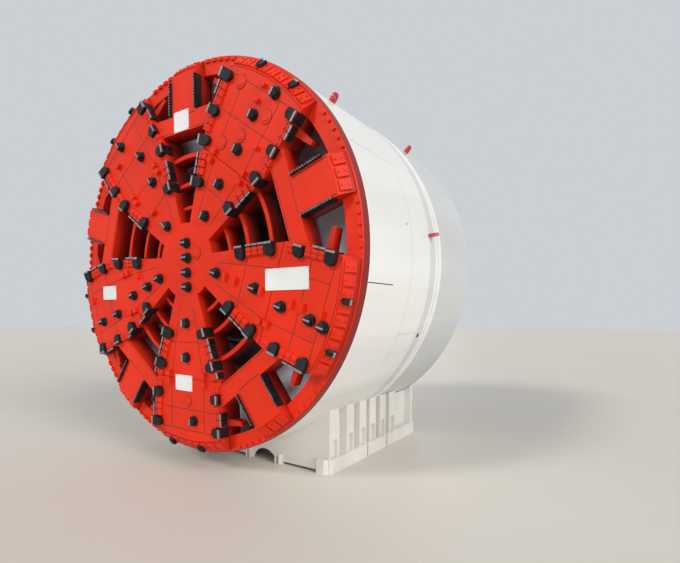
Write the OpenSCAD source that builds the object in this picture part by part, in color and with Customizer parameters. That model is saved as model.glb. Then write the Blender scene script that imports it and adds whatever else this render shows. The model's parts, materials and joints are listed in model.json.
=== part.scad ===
/* [Cutting wheel] */
// Diameter cut by the wheel
wheel_d = 11640; // [9060:10:12840]
// Number of main spokes
spokes = 5; // [5:1:5]
// Angle of the first spoke, counted from the right
first_spoke = -90; // [-90:1:90]
// Depth of the rim ring
rim_len = 300; // [200:10:400]
// Radial width of the rim ring
rim_w = 470; // [350:10:600]
// Radial width of the bevelled gauge between the face and the rim
gauge_w = 370; // [300:10:440]
// Distance from the rim's front to the face of the spokes
face_lead = 340; // [200:10:500]
// Depth of a spoke behind the rim's front
spoke_back = 420; // [320:10:520]
// Half width of a spoke at the hub
spoke_root = 480; // [400:10:560]
// Half width of a spoke where its taper ends
spoke_seam = 1420; // [1250:10:1500]
// Half width of a spoke at the rim
spoke_tip = 1520; // [1300:10:1560]
// Distance from the rim to the end of a spoke's taper
taper_back = 2260; // [2120:10:2520]
// Radius of the hub disc
hub_r = 1120; // [950:10:1250]
// Gap between the wheel's rim and the front shield
wheel_gap = 60; // [30:5:120]
// Half width of a tee arm's stem
stem_half = 520; // [400:10:600]
// Distance from the rim to the inner edge of a tee arm's head
tee_back = 2040; // [1900:10:2120]
// Radial width of a tee arm's head
tee_head = 520; // [400:10:620]
// Height of a ripper above the face
ripper_h = 200; // [120:10:260]
// Diameter of a ripper's socket
ripper_d = 300; // [240:10:340]
// Distance between the rippers along a spoke's edge
edge_pitch = 960; // [880:10:1040]
// Height of a scraper above the face
scraper_h = 110; // [60:10:160]

/* [Shield] */
// How much wider than the shield the wheel cuts, on the radius
overcut = 20; // [10:5:40]
// Step from the front and centre shield down to the tail shield
tail_step = 15; // [5:5:25]
// Thickness of the shield plate
shield_t = 60; // [40:5:90]
// Length of the front shield
front_len = 2540; // [2200:10:3200]
// Length of the centre shield
centre_len = 2050; // [1800:10:2600]
// Length of the band between centre and tail shield
band_len = 200; // [120:10:300]
// Height of the band above the tail plate
band_h = 30; // [10:5:32]
// Length of the tail shield
tail_len = 3050; // [2800:10:3800]
// Gap between the shield and the floor
ground_gap = 600; // [400:10:1600]

/* [Drive] */
// Outer diameter of the main drive housing
drive_d = 5100; // [4700:50:5400]
// Inner diameter of the main drive housing
drive_bore = 2900; // [2600:50:3200]
// Length of the main drive housing
drive_len = 1450; // [1200:10:1700]
// Distance from the rim's front to the drive housing
drive_st = 1950; // [1800:10:2200]
// Number of drive motors
motors = 12; // [8:1:14]

/* [Thrust] */
// Pairs of thrust cylinders
pairs = 14; // [14:1:14]
// Stroke of the thrust cylinders
stroke = 2000; // [1600:10:2000]
// Diameter of a thrust cylinder's barrel
barrel_d = 300; // [240:10:340]
// Diameter of a thrust cylinder's rod
rod_d = 200; // [160:10:220]
// Gap between the tail plate and the tunnel lining
tail_gap = 125; // [100:5:160]
// Thickness of the tunnel lining
lining_t = 500; // [460:10:540]

/* [Erector] */
// Inner radius of the erector's rotor
rotor_in = 1900; // [1850:10:2000]
// Radial width of the erector's rotor
rotor_w = 650; // [500:10:700]
// Travel of the erector along the tunnel
erector_travel = 1000; // [600:10:1000]
// Travel of the erector's arms
arm_travel = 1100; // [800:10:1100]
// Distance between the two erector arms' middles and the rotor's bore
arm_offset = 250; // [210:10:300]

/* [Cradle] */
// Half width of the cradle
cradle_half = 3700; // [3300:10:4000]
// Distance from the rim's front to the cradle
cradle_st = 1900; // [1600:10:2000]
// Length of the front cradle section
cradle_front_len = 2320; // [2300:10:2400]
// Length of the middle cradle section
cradle_middle_len = 1480; // [1460:10:1600]
// Length of the rear cradle section
cradle_rear_len = 2460; // [2440:10:2500]
// Thickness of the cradle's plates
cradle_t = 60; // [40:5:80]
// Height of the cradle's foot beam
foot_h = 450; // [350:10:520]

/* [Hidden] */
$fn = 96;
// Circles above this radius are drawn finer
large_r = 1000;
large_fn = 360;
// Clearance between a piece and its seat
seat = 0.3;

wheel_r = wheel_d / 2;
rim_in = wheel_r - rim_w;
face_r = wheel_r - gauge_w;
shield_r = wheel_r - overcut;
shield_in = shield_r - shield_t;
tail_r = shield_r - tail_step;
tail_in = tail_r - shield_t;
lining_out = tail_in - tail_gap;
lining_in = lining_out - lining_t;
axis_h = shield_r + ground_gap;

// Stations along the axis, from the rim's front plane towards the tail
shield_st = rim_len + wheel_gap;
centre_st = shield_st + front_len;
band_st = centre_st + centre_len;
tail_st = band_st + band_len;
tail_end = tail_st + tail_len;
front_reach = face_lead + ripper_h;
mid_st = (tail_end - front_reach) / 2;

// Places a module given by stations in the part's own frame
module on_axis() {
    translate([0, -mid_st, axis_h]) children();
}

// A flat profile drawn in x and z, extruded between two stations
module slab(st_a, st_b) {
    translate([0, st_b, 0]) rotate([90, 0, 0]) linear_extrude(height = st_b - st_a) children();
}

// A flat profile drawn in x and station, extruded across, half to each side
module across(width) {
    translate([0, 0, -width / 2]) linear_extrude(height = width) children();
}

// A round bar along the axis
module bar(r, st_a, st_b) {
    translate([0, st_a, 0]) rotate([-90, 0, 0])
        cylinder(r = r, h = st_b - st_a, $fn = r > large_r ? large_fn : $fn);
}

// A ring along the axis
module tube(r_out, r_in, st_a, st_b) {
    difference() {
        bar(r_out, st_a, st_b);
        bar(r_in, st_a - 1, st_b + 1);
    }
}

// A profile of radius and station, turned about the axis
module turned(points) {
    rotate([-90, 0, 0]) rotate_extrude($fn = large_fn) polygon(points);
}

// A smaller profile of radius and station, turned about its own line
module spindle(points) {
    rotate([-90, 0, 0]) rotate_extrude() polygon(points);
}

// A flat wedge from the axis, with its half angle
module wedge(half_angle) {
    polygon([[0, 0], [2 * wheel_r, -2 * wheel_r * tan(half_angle)],
             [2 * wheel_r, 2 * wheel_r * tan(half_angle)]]);
}

// Turns a thing drawn along +x to an angle seen from the front
module at_angle(a) {
    rotate([0, -a, 0]) children();
}

// Share of each spoke's length that lies outside its seam
seam_share = [0.487, 0.502, 0.594, 0.579, 0.615];
root_r = hub_r - 120;
taper_r = wheel_r - taper_back;

function spoke_angle(i) = first_spoke + i * 360 / spokes;
function tee_angle(i) = spoke_angle(i) + 180 / spokes;
function seam_r(i) = wheel_r - seam_share[i] * (wheel_r - hub_r);

// Half width of a spoke at a distance from the axis, and the angle of its edge
function spoke_half(r) = r < taper_r
    ? spoke_root + (spoke_seam - spoke_root) * (r - root_r) / (taper_r - root_r)
    : spoke_seam + (spoke_tip - spoke_seam) * (r - taper_r) / taper_back;
function edge_angle(r) = r < taper_r
    ? atan((spoke_seam - spoke_root) / (taper_r - root_r))
    : atan((spoke_tip - spoke_seam) / taper_back);

// Outline of a spoke between two distances, grown by a clearance
module spoke_outline(r_a, r_b, grow) {
    stops = r_a < taper_r && taper_r < r_b ? [r_a, taper_r, r_b] : [r_a, r_b];
    last = len(stops) - 1;
    polygon(concat([for (r = stops) [r, -spoke_half(r) - grow]],
                   [for (k = [last : -1 : 0]) [stops[k], spoke_half(stops[k]) + grow]]));
}

// Places a thing on a spoke's edge: x runs along the edge, z out of it
module along_edge(i, r, side) {
    at_angle(spoke_angle(i)) mirror([0, 0, side < 0 ? 1 : 0])
        translate([r, 0, spoke_half(r)]) rotate([0, -edge_angle(r), 0]) children();
}

// Distance from the axis of a place on a spoke: 0 at the hub, 1 at the seam, 2 at the rim
function reach(i, u) = u < 1
    ? hub_r + u * (seam_r(i) - hub_r)
    : seam_r(i) + (u - 1) * (wheel_r - seam_r(i));

// Places a thing on a spoke's face, with its share of the half width across
module on_face(i, u, v) {
    at_angle(spoke_angle(i)) translate([reach(i, u), 0, v * spoke_half(reach(i, u))]) children();
}

// The wheel's body of revolution: flat face, bevelled gauge, room for the rim ring
gauge_foot = 60;
gauge_end = 40;

module wheel_envelope(back) {
    turned([[0, -face_lead], [face_r, -face_lead], [wheel_r - gauge_foot, -gauge_end],
            [wheel_r - gauge_foot, 0], [rim_in - seat, 0], [rim_in - seat, back], [0, back]]);
}

groove_w = 45;
root_lap = 280;

// The bevel along a segment's inner edge, which marks the spoke's seam on its face
module seam_groove(i) {
    at_angle(spoke_angle(i)) translate([seam_r(i) - seat / 2, -face_lead, 0])
        rotate([0, 0, 45])
            cube([groove_w, groove_w, 2 * (spoke_half(seam_r(i)) + groove_w)], center = true);
}

module wheel_centre() {
    color("orangered") on_axis() slab(-face_lead, spoke_back) {
        circle(r = hub_r, $fn = large_fn);
        for (i = [0 : spokes - 1])
            rotate(spoke_angle(i)) spoke_outline(root_r - root_lap, seam_r(i) - seat, 0);
    }
}

module wheel_segments() {
    color("orangered") on_axis()
        for (i = [0 : spokes - 1])
            intersection() {
                difference() {
                    at_angle(spoke_angle(i))
                        slab(-face_lead, spoke_back) spoke_outline(seam_r(i), wheel_r, 0);
                    seam_groove(i);
                }
                wheel_envelope(spoke_back);
            }
}

tee_in = wheel_r - tee_back;

// Room taken by the two spokes beside a tee arm, seen in the arm's own direction
module beside_spokes(st_a, st_b) {
    for (side = [-1, 1])
        at_angle(side * 180 / spokes) slab(st_a, st_b) spoke_outline(root_r, wheel_r + 200, seat);
}

module wheel_tee_arms() {
    color("orangered") on_axis()
        for (i = [0 : spokes - 1])
            intersection() {
                at_angle(tee_angle(i)) difference() {
                    slab(-face_lead, rim_len) {
                        translate([tee_in, -wheel_r / 2]) square([tee_head, wheel_r]);
                        translate([tee_in, -stem_half]) square([wheel_r - tee_in, 2 * stem_half]);
                    }
                    beside_spokes(-face_lead - 1, rim_len + 1);
                }
                wheel_envelope(rim_len);
            }
}

rim_bevel = 30;

module wheel_rim() {
    color("orangered") on_axis()
        turned([[rim_in, 0], [wheel_r - rim_bevel, 0], [wheel_r, rim_bevel], [wheel_r, rim_len],
                [rim_in, rim_len]]);
}

// Ring beams behind the spokes: place between hub and end of taper, share of the width
ring_beams = [[0.205, 0.8], [0.49, 0.9], [0.83, 1]];
ring_w = 120;
ring_front = -100;

module wheel_ring_beams() {
    color("orangered") on_axis()
        slab(ring_front, spoke_back) difference() {
            for (b = ring_beams) {
                mid = hub_r + b[0] * (taper_r - hub_r);
                difference() {
                    circle(r = mid + b[1] * ring_w / 2, $fn = large_fn);
                    circle(r = mid - b[1] * ring_w / 2, $fn = large_fn);
                }
            }
            for (i = [0 : spokes - 1])
                rotate(spoke_angle(i)) spoke_outline(root_r - root_lap, taper_r, seat);
        }
}

// Rippers on the faces: spoke, place along it, share of its half width across
rippers = [
    [0, 0.31, 0], [0, 0.74, 0], [0, 1.56, 0.2],
    [1, 0.11, 0], [1, 0.76, 0], [1, 1.18, -0.14], [1, 1.59, -0.16], [1, 1.77, -0.19],
    [2, 0.2, 0], [2, 0.72, 0], [2, 1.19, -0.07], [2, 1.53, -0.07], [2, 1.79, -0.33],
    [3, 0.12, 0], [3, 0.9, -0.26], [3, 1.32, -0.25], [3, 1.7, 0.13],
    [4, 0.1, 0.15], [4, 0.45, 0.16], [4, 0.9, 0.13], [4, 1.3, 0.32], [4, 1.63, 0.3]
];
// Rippers on the hub: shares of its radius across and up
hub_rippers = [[0.06, 0.46], [0.09, 0.07], [0.08, -0.32], [0.09, -0.7]];
socket_h = 70;
blade_gap = 30;
blade_w = 60;
blade_low = 70;

// Socket with a blade whose two flanks slope to a flat edge
module ripper() {
    blade_r = ripper_d / 2 - blade_gap;
    bar(ripper_d / 2, -face_lead - socket_h, -face_lead);
    intersection() {
        bar(blade_r, -face_lead - ripper_h, -face_lead - socket_h + 1);
        rotate([0, -90, 0]) across(2 * blade_r)
            polygon([[-blade_r, -face_lead], [blade_r, -face_lead],
                     [blade_r, -face_lead - ripper_h + blade_low], [blade_w / 2, -face_lead - ripper_h],
                     [-blade_w / 2, -face_lead - ripper_h],
                     [-blade_r, -face_lead - ripper_h + blade_low]]);
    }
}

tool_gap = 10;
edge_first = 820;
edge_count = 4;
edge_r = 140;
edge_in = 190;
cheek_t = 40;
cheek_len = face_lead + ring_front - tool_gap;
heel_h = 130;
seam_clear = 170;

// Distance from the axis of an edge ripper, kept off its spoke's seam
function edge_reach(i, j) = let (r = wheel_r - edge_first - j * edge_pitch)
    abs(r - seam_r(i)) < seam_clear ? seam_r(i) + seam_clear : r;

// Whether a tool on a spoke's edge lies beside a tee arm's head
function beside_head(r, half) = let (a = 180 / spokes, h = spoke_half(r) * sin(a))
    (r + half) * cos(a) + h > tee_in - tool_gap
    && (r - half) * cos(a) + h < tee_in + tee_head + tool_gap;

// Round-backed ripper; its cheek reaches down the spoke's side where nothing joins it there
module edge_ripper(cheek) {
    out = cheek ? cheek_t : -tool_gap;
    low = -face_lead + (cheek ? cheek_len : 0);
    intersection() {
        slab(-face_lead - ripper_h, -face_lead + cheek_len) {
            translate([0, -edge_in]) circle(r = edge_r);
            translate([-edge_r, -edge_in]) square([2 * edge_r, edge_in + out]);
        }
        rotate([0, -90, 0]) across(2 * edge_r)
            polygon(concat([[-edge_in - edge_r, -face_lead],
                            [-edge_in - edge_r, -face_lead - heel_h],
                            [out, -face_lead - ripper_h], [out, low]],
                           cheek ? [[seat, low], [seat, -face_lead]] : []));
    }
}

module wheel_rippers() {
    color([0.08, 0.08, 0.09]) on_axis() {
        for (h = hub_rippers) translate([h[0] * hub_r, 0, h[1] * hub_r]) ripper();
        for (t = rippers) on_face(t[0], t[1], t[2]) ripper();
        for (i = [0 : spokes - 1], j = [0 : edge_count - 1], side = [-1, 1])
            along_edge(i, edge_reach(i, j), side)
                edge_ripper(!beside_head(edge_reach(i, j), edge_r));
    }
}

scraper_len = 190;
scraper_t = 60;
scraper_pitch = 200;
scraper_down = 160;

// Distances from the axis of the scrapers between two edge rippers
function scraper_reach(j) = [for (k = [-1 : 1]) wheel_r - edge_first - (j + 0.5) * edge_pitch
                             + k * scraper_pitch];

// Whether a scraper has room beside a spoke's seam and rippers
function has_room(i, r) = abs(r - seam_r(i)) > scraper_len / 2 + groove_w
    && min([for (j = [0 : edge_count]) abs(r - edge_reach(i, j))])
       > scraper_len / 2 + edge_r + tool_gap;

module wheel_scrapers() {
    color([0.1, 0.1, 0.11]) on_axis()
        for (i = [0 : spokes - 1], j = [0 : edge_count - 2], r = scraper_reach(j), side = [-1, 1])
            if (has_room(i, r) && !beside_head(r, scraper_len / 2))
                along_edge(i, r, side)
                    translate([-scraper_len / 2, -face_lead - scraper_h, seat])
                        cube([scraper_len, scraper_h + scraper_down, scraper_t]);
}

pad_w = 240;
pad_h = 95;
pad_back = 25;

// Holder block behind each scraper, with a sloped back
module wheel_tool_pads() {
    color("orangered") on_axis()
        for (i = [0 : spokes - 1], j = [0 : edge_count - 2], r = scraper_reach(j), side = [-1, 1])
            if (has_room(i, r))
                along_edge(i, r, side) translate([0, 0, -pad_w / 2 - pad_back])
                    rotate([0, -90, 0]) across(scraper_len - tool_gap)
                        polygon([[-pad_w / 2, -face_lead], [pad_w / 2, -face_lead],
                                 [pad_w / 2, -face_lead - pad_h], [-pad_w / 3, -face_lead - pad_h],
                                 [-pad_w / 2, -face_lead - pad_h / 2]]);
}

// Round bosses on the faces: spoke, place along it, share of its half width across
bosses = [[2, 1.72, 0.55], [2, 1.58, -0.36], [2, 1.15, 0.42], [2, 1.31, 0.02], [0, 1.31, 0]];
// Small upright blocks on the faces, in the same columns
blocks = [[1, 0.28, 0], [1, 0.45, 0], [1, 0.87, 0], [1, 1.32, 0], [1, 1.47, 0], [1, 1.72, 0],
          [2, 1.66, 0], [2, 1.8, 0], [2, 1.31, -0.47], [3, 0.5, 0.25], [3, 1.55, 0.45],
          [4, 0.65, -0.4], [4, 1.75, -0.3]];
// Sides of each spoke that carry the lugs across its seam
seam_lug_sides = [[-1, 1], [-1], [-1, 1], [-1, 1], [-1, 1]];
boss_r = 180;
boss_h = 45;
block_w = 90;
block_len = 220;
block_h = 120;
seam_lug = 160;
seam_lug_share = 0.55;

module wheel_bosses() {
    color("orangered") on_axis() {
        for (b = bosses) on_face(b[0], b[1], b[2]) boss();
        translate([0.43 * hub_r, 0, 0.18 * hub_r]) boss();
        for (b = blocks)
            on_face(b[0], b[1], b[2]) translate([-block_w / 2, -face_lead - block_h, -block_len / 2])
                cube([block_w, block_h, block_len]);
        for (i = [0 : spokes - 1], side = seam_lug_sides[i], end = [-1, 1])
            on_face(i, 1, side * seam_lug_share)
                translate([end * (groove_w + seam_lug / 2) - seam_lug / 2, -face_lead - block_h,
                           -seam_lug / 2])
                    cube([seam_lug, block_h, seam_lug]);
    }
}

// A flat boss with a smaller raised ring on it
module boss() {
    spindle([[0, -face_lead], [boss_r, -face_lead], [boss_r, -face_lead - boss_h / 2],
             [boss_r - 50, -face_lead - boss_h / 2], [boss_r - 70, -face_lead - boss_h],
             [0, -face_lead - boss_h]]);
}

gauge_block_w = 260;
gauge_block_len = 290;
gauge_block_t = 50;
gauge_pitch = 3.3;
gauge_angle = atan((face_lead - gauge_end) / (gauge_w - gauge_foot));
rim_block = 90;
rim_block_len = 150;
rim_block_t = 60;
rim_block_count = 5;
rim_block_pitch = 2.6;
rim_block_first = 7;

// Wear block lying on the bevelled gauge
module gauge_block(a) {
    at_angle(a) translate([face_r, -face_lead, 0]) rotate([0, 0, gauge_angle])
        translate([gauge_foot, -gauge_block_t - seat, -gauge_block_w / 2])
            cube([gauge_block_len, gauge_block_t, gauge_block_w]);
}

module wheel_gauge_blocks() {
    color("firebrick") on_axis()
        for (i = [0 : spokes - 1]) {
            for (k = [-4 : 4]) gauge_block(spoke_angle(i) + k * gauge_pitch);
            for (k = [-1 : 1]) gauge_block(tee_angle(i) + k * gauge_pitch);
            for (k = [0 : rim_block_count - 1], side = [-1, 1])
                at_angle(tee_angle(i) + side * (rim_block_first + k * rim_block_pitch))
                    translate([wheel_r - rim_bevel - tool_gap - rim_block, -rim_block_t,
                               -rim_block_len / 2])
                        cube([rim_block, rim_block_t, rim_block_len]);
        }
}

paddle_back = 1100;
paddle_len = 600;
paddle_root = 200;
paddle_tip = 120;
paddle_half = 150;

// Short bars that stir the ground in the openings
module wheel_paddles() {
    color("orangered") on_axis()
        for (i = [0 : spokes - 1], side = [-1, 1])
            along_edge(i, wheel_r - paddle_back, side) slab(-paddle_half, paddle_half)
                polygon([[-paddle_root / 2, seat], [paddle_root / 2, seat],
                         [paddle_tip / 2, paddle_len], [-paddle_tip / 2, paddle_len]]);
}

wear_t = 45;
wear_depth = 230;
wear_lead = 30;
tooth_h = 70;
wear_teeth = 12;
wear_in = tee_in + tee_head + 20;
wear_pitch = (rim_in - 60 - wear_in) / wear_teeth;

// Toothed plates on both sides of each tee arm's stem
module tee_wear_plates() {
    color([0.1, 0.1, 0.13]) on_axis()
        for (i = [0 : spokes - 1], side = [-1, 1])
            at_angle(tee_angle(i)) translate([wear_in, -face_lead - wear_lead,
                                              side * (stem_half + seat + wear_t / 2)])
                across(wear_t) {
                    square([wear_teeth * wear_pitch, wear_depth]);
                    for (k = [0 : wear_teeth - 1])
                        translate([(k + 0.2) * wear_pitch, -tooth_h])
                            square([0.6 * wear_pitch, tooth_h + 1]);
                }
}

// Blank sign plates: angle, shares of the wheel's radius along and across, shares of size
sign_plates = [[-18, 0.66, 0.09, 1.86, 1.12], [198, 0.7, -0.07, 1.03, 0.94],
               [-90, 0.634, -0.024, 1, 0.96], [90, 0.703, 0.016, 0.86, 1.16]];
sign_w = 740;
sign_h = 500;
plate_t = 25;

module wheel_sign_plates() {
    color("white") on_axis()
        for (s = sign_plates) {
            w = s[3] * sign_w;
            h = s[4] * sign_h;
            translate([wheel_r * (s[1] * cos(s[0]) - s[2] * sin(s[0])) - w / 2,
                       -face_lead - plate_t, wheel_r * (s[1] * sin(s[0]) + s[2] * cos(s[0])) - h / 2])
                cube([w, plate_t, h]);
        }
}

motor_pitch_r = (drive_d + drive_bore) / 4;
leg_step = 50;
leg_r = motor_pitch_r - leg_step;
leg_w = 620;
leg_foot = 900;
leg_end = 560;
rotor_len = 200;
flange_st = drive_st - seat - rotor_len;

module wheel_legs() {
    color("firebrick") on_axis()
        for (i = [0 : spokes - 1])
            at_angle(spoke_angle(i)) translate([leg_r, 0, 0]) across(leg_w)
                polygon([[-leg_foot / 2, spoke_back + seat], [leg_foot / 2, spoke_back + seat],
                         [leg_end / 2, flange_st - seat], [-leg_end / 2, flange_st - seat]]);
}

centre_pipe_r = 380;
centre_pipe_end = 600;
port_r = 330;
port_step = 500;
port_c = motor_pitch_r - port_step;
flange_step = 120;

module drive_rotor() {
    color("dimgray") on_axis() {
        difference() {
            bar(drive_d / 2 - flange_step, flange_st, flange_st + rotor_len);
            for (i = [0 : spokes - 1])
                at_angle(tee_angle(i)) translate([port_c, 0, 0]) bar(port_r, flange_st - 1, drive_st);
        }
        bar(centre_pipe_r, spoke_back + seat, drive_st + drive_len + centre_pipe_end);
    }
}

lip_w = 20;
lip_len = 40;

module front_shield() {
    color("ivory") on_axis()
        turned([[shield_r, shield_st + lip_len], [shield_r, centre_st], [shield_in, centre_st],
                [shield_in, shield_st], [shield_r - lip_w, shield_st]]);
}

wall_t = 60;
wall_st = drive_st - wall_t;
gate_w = 3200;
gate_h = 1900;

module submerged_wall() {
    color("gainsboro") on_axis() difference() {
        tube(shield_in - seat, drive_d / 2 + wall_t, wall_st, wall_st + wall_t);
        translate([-gate_w / 2, wall_st - 1, -shield_r]) cube([gate_w, wall_t + 2, gate_h]);
    }
}

bulk_t = 80;
bulk_st = centre_st - bulk_t - 20;
hatch_r = 300;
// Places of the two man lock chambers, on both sides above the drive
lock_r = 760;
lock_gap = 380;
lock_angle = 62;
lock_x = (drive_d / 2 + lock_r + lock_gap) * cos(lock_angle);
lock_z = (drive_d / 2 + lock_r + lock_gap) * sin(lock_angle);
// Places of the slurry pipes, on both sides below the drive
pipe_r = 225;
pipe_gap = 385;
pipe_angle = 14;
pipe_x = (lining_in - pipe_gap - pipe_r) * sin(pipe_angle);
pipe_z = -(lining_in - pipe_gap - pipe_r) * cos(pipe_angle);

module pressure_bulkhead() {
    color("gainsboro") on_axis() difference() {
        tube(shield_in - seat, drive_d / 2 + seat, bulk_st, bulk_st + bulk_t);
        for (side = [-1, 1])
            translate([side * lock_x, 0, lock_z]) bar(hatch_r, bulk_st - 1, centre_st);
    }
}

// Angles of the ribs behind the bulkhead, clear of locks, decks and pipes
rib_angles = [12, 36, 90, 144, 168, 200, 222, 244, 296, 318, 340];
rib_t = 40;
rib_depth = 300;
rib_gap = 120;

module bulkhead_ribs() {
    color("gainsboro") on_axis()
        for (a = rib_angles)
            at_angle(a) translate([drive_d / 2 + 5, bulk_st + bulk_t + seat, -rib_t / 2])
                cube([lining_in - rib_gap - drive_d / 2, rib_depth, rib_t]);
}

housing_step = 90;
housing_flange = 120;

module drive_housing() {
    neck_r = drive_d / 2 - housing_step;
    end = drive_st + drive_len;
    color("steelblue") on_axis()
        turned([[drive_bore / 2, drive_st], [drive_d / 2, drive_st],
                [drive_d / 2, drive_st + housing_flange], [neck_r, drive_st + housing_flange],
                [neck_r, bulk_st - housing_flange], [drive_d / 2, bulk_st - housing_flange],
                [drive_d / 2, bulk_st + bulk_t + housing_flange],
                [neck_r, bulk_st + bulk_t + housing_flange], [neck_r, end - housing_flange],
                [drive_d / 2, end - housing_flange], [drive_d / 2, end], [drive_bore / 2, end]]);
}

gearbox_r = 330;
gearbox_len = 650;
motor_flange = 60;
motor_r = 240;
motor_len = 900;

module drive_motors() {
    st = drive_st + drive_len;
    color("steelblue") on_axis()
        for (i = [0 : motors - 1])
            at_angle((i + 0.5) * 360 / motors) translate([motor_pitch_r, st, 0])
                spindle([[0, 0], [gearbox_r + motor_flange, 0],
                         [gearbox_r + motor_flange, motor_flange], [gearbox_r, motor_flange],
                         [gearbox_r, gearbox_len - motor_flange],
                         [motor_r + motor_flange, gearbox_len],
                         [motor_r + motor_flange, gearbox_len + motor_flange],
                         [motor_r, gearbox_len + motor_flange],
                         [motor_r, gearbox_len + motor_len - motor_flange],
                         [motor_r - motor_flange, gearbox_len + motor_len],
                         [0, gearbox_len + motor_len]]);
}

module centre_shield() {
    color("ivory") on_axis() tube(shield_r, shield_in, centre_st, band_st);
}

module shield_band() {
    color("white") on_axis() tube(tail_r + band_h, tail_in, band_st, tail_st);
}

module tail_shield() {
    color("ivory") on_axis() tube(tail_r, tail_in, tail_st, tail_end);
}

brush_rows = 3;
brush_pitch = 190;
brush_end = 60;
brush_len = 100;
brush_t = 40;
brush_gap = 10;

module tail_brushes() {
    color("dimgray") on_axis()
        for (k = [0 : brush_rows - 1]) {
            st = tail_end - 2 * brush_end - k * brush_pitch;
            turned([[tail_in - seat, st], [tail_in - seat, st + brush_t],
                    [lining_out + brush_gap, st + brush_len],
                    [lining_out + brush_gap, st + brush_len - 0.75 * brush_t]]);
        }
}

lug_front = 900;
lug_side = 730;
lug_tail = 1230;
// Lifting lugs: station, angle, radius of the plate below
lugs = [[centre_st - lug_front, 52, shield_r], [centre_st - lug_front, 128, shield_r],
        [band_st - lug_side, 8, shield_r], [band_st - lug_side, 172, shield_r],
        [tail_end - lug_tail, 50, tail_r], [tail_end - lug_tail, 130, tail_r]];
lug_t = 70;
lug_r = 130;
lug_eye = 50;
lug_h = 150;

module lifting_lugs() {
    color("crimson") on_axis()
        for (g = lugs)
            at_angle(g[1]) translate([0, g[0], 0]) difference() {
                translate([g[2], 0, 0]) across(lug_t) difference() {
                    union() {
                        translate([-2, 0]) square([lug_h + 2, 2 * lug_r]);
                        translate([lug_h, lug_r]) circle(r = lug_r);
                    }
                    translate([lug_h, lug_r]) circle(r = lug_eye);
                }
                bar(g[2] + seat, -1, 2 * lug_r + 1);
            }
}

cyl_r = (lining_in + lining_out) / 2;
barrel_st = bulk_st + bulk_t + seat;
barrel_end = barrel_st + stroke + 260;
shoe_st = barrel_end + 150;
shoe_t = 120;
ring_st = band_st - 90;
ring_t = 60;
ring_in = lining_in - 120;
collar_w = 30;
collar_len = 40;
pair_split = 5.2;

function pair_angle(i) = (i + 0.5) * 360 / pairs - 90;

// Flat ring that steadies the cylinders, with a collar round each barrel
module cylinder_ring() {
    color("gainsboro") on_axis() {
        slab(ring_st, ring_st + ring_t) difference() {
            circle(r = shield_in - seat, $fn = large_fn);
            circle(r = ring_in, $fn = large_fn);
            barrel_circles(barrel_d / 2 + seat);
        }
        slab(ring_st - collar_len, ring_st + 1) difference() {
            barrel_circles(barrel_d / 2 + collar_w);
            barrel_circles(barrel_d / 2 + seat);
        }
    }
}

module barrel_circles(r) {
    for (i = [0 : pairs - 1], s = [-1, 1])
        rotate(pair_angle(i) + s * pair_split) translate([cyl_r, 0]) circle(r = r);
}

gland_step = 15;
gland_len = 70;

module thrust_barrels() {
    color("steelblue") on_axis()
        for (i = [0 : pairs - 1], s = [-1, 1])
            at_angle(pair_angle(i) + s * pair_split) translate([cyl_r, 0, 0])
                spindle([[0, barrel_st], [barrel_d / 2, barrel_st],
                         [barrel_d / 2, barrel_end - gland_len],
                         [barrel_d / 2 - gland_step, barrel_end - gland_len],
                         [barrel_d / 2 - gland_step, barrel_end], [rod_d / 2 + seat, barrel_end],
                         [rod_d / 2 + seat, barrel_st + 15], [0, barrel_st + 15]]);
}

shoe_angle = 9.6;
shoe_gap = 15;

// Two rods and the shoe that they share
module rod_pair(i) {
    at_angle(pair_angle(i)) {
        for (s = [-1, 1])
            at_angle(s * pair_split) translate([cyl_r, 0, 0])
                bar(rod_d / 2, barrel_st + 20, shoe_st + 1);
        intersection() {
            tube(lining_out - shoe_gap, lining_in + shoe_gap, shoe_st, shoe_st + shoe_t);
            slab(shoe_st - 1, shoe_st + shoe_t + 1) wedge(shoe_angle);
        }
    }
}

module rod_group(first, count) {
    color("silver") on_axis()
        for (i = [first : first + count - 1]) rod_pair(i % pairs);
}

module thrust_rods_bottom() { rod_group(12, 4); }
module thrust_rods_right() { rod_group(2, 3); }
module thrust_rods_top() { rod_group(5, 4); }
module thrust_rods_left() { rod_group(9, 3); }

lock_st = bulk_st + bulk_t;
lock_len = 1750;
lock_t = 25;
door_r = 330;
door_t = 60;
door_st = lock_st + lock_len + seat;
// The door's pin, its knuckle and the bracket that holds the pin
pin_r = 20;
pin_x = door_r + 80;
pin_st = door_st + door_t;
knuckle_r = 40;
knuckle_h = 120;
bracket_h = 50;

module man_lock() {
    color("ivory") on_axis() {
        for (side = [-1, 1])
            translate([side * lock_x, 0, lock_z]) difference() {
                bar(lock_r, lock_st, lock_st + lock_len);
                bar(lock_r - lock_t, lock_st + lock_t, lock_st + lock_len - lock_t);
                bar(hatch_r, lock_st - 1, lock_st + lock_len + 1);
            }
        translate([lock_x + pin_x, 0, lock_z]) {
            translate([0, pin_st, -knuckle_h / 2 - bracket_h])
                cylinder(r = pin_r, h = knuckle_h + 2 * bracket_h);
            for (end = [-1, 1])
                translate([-knuckle_r, lock_st + lock_len - 1,
                           end * (knuckle_h / 2 + 5 + bracket_h / 2) - bracket_h / 2])
                    cube([2 * knuckle_r, door_t + knuckle_r + 1, bracket_h]);
        }
    }
}

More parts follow.
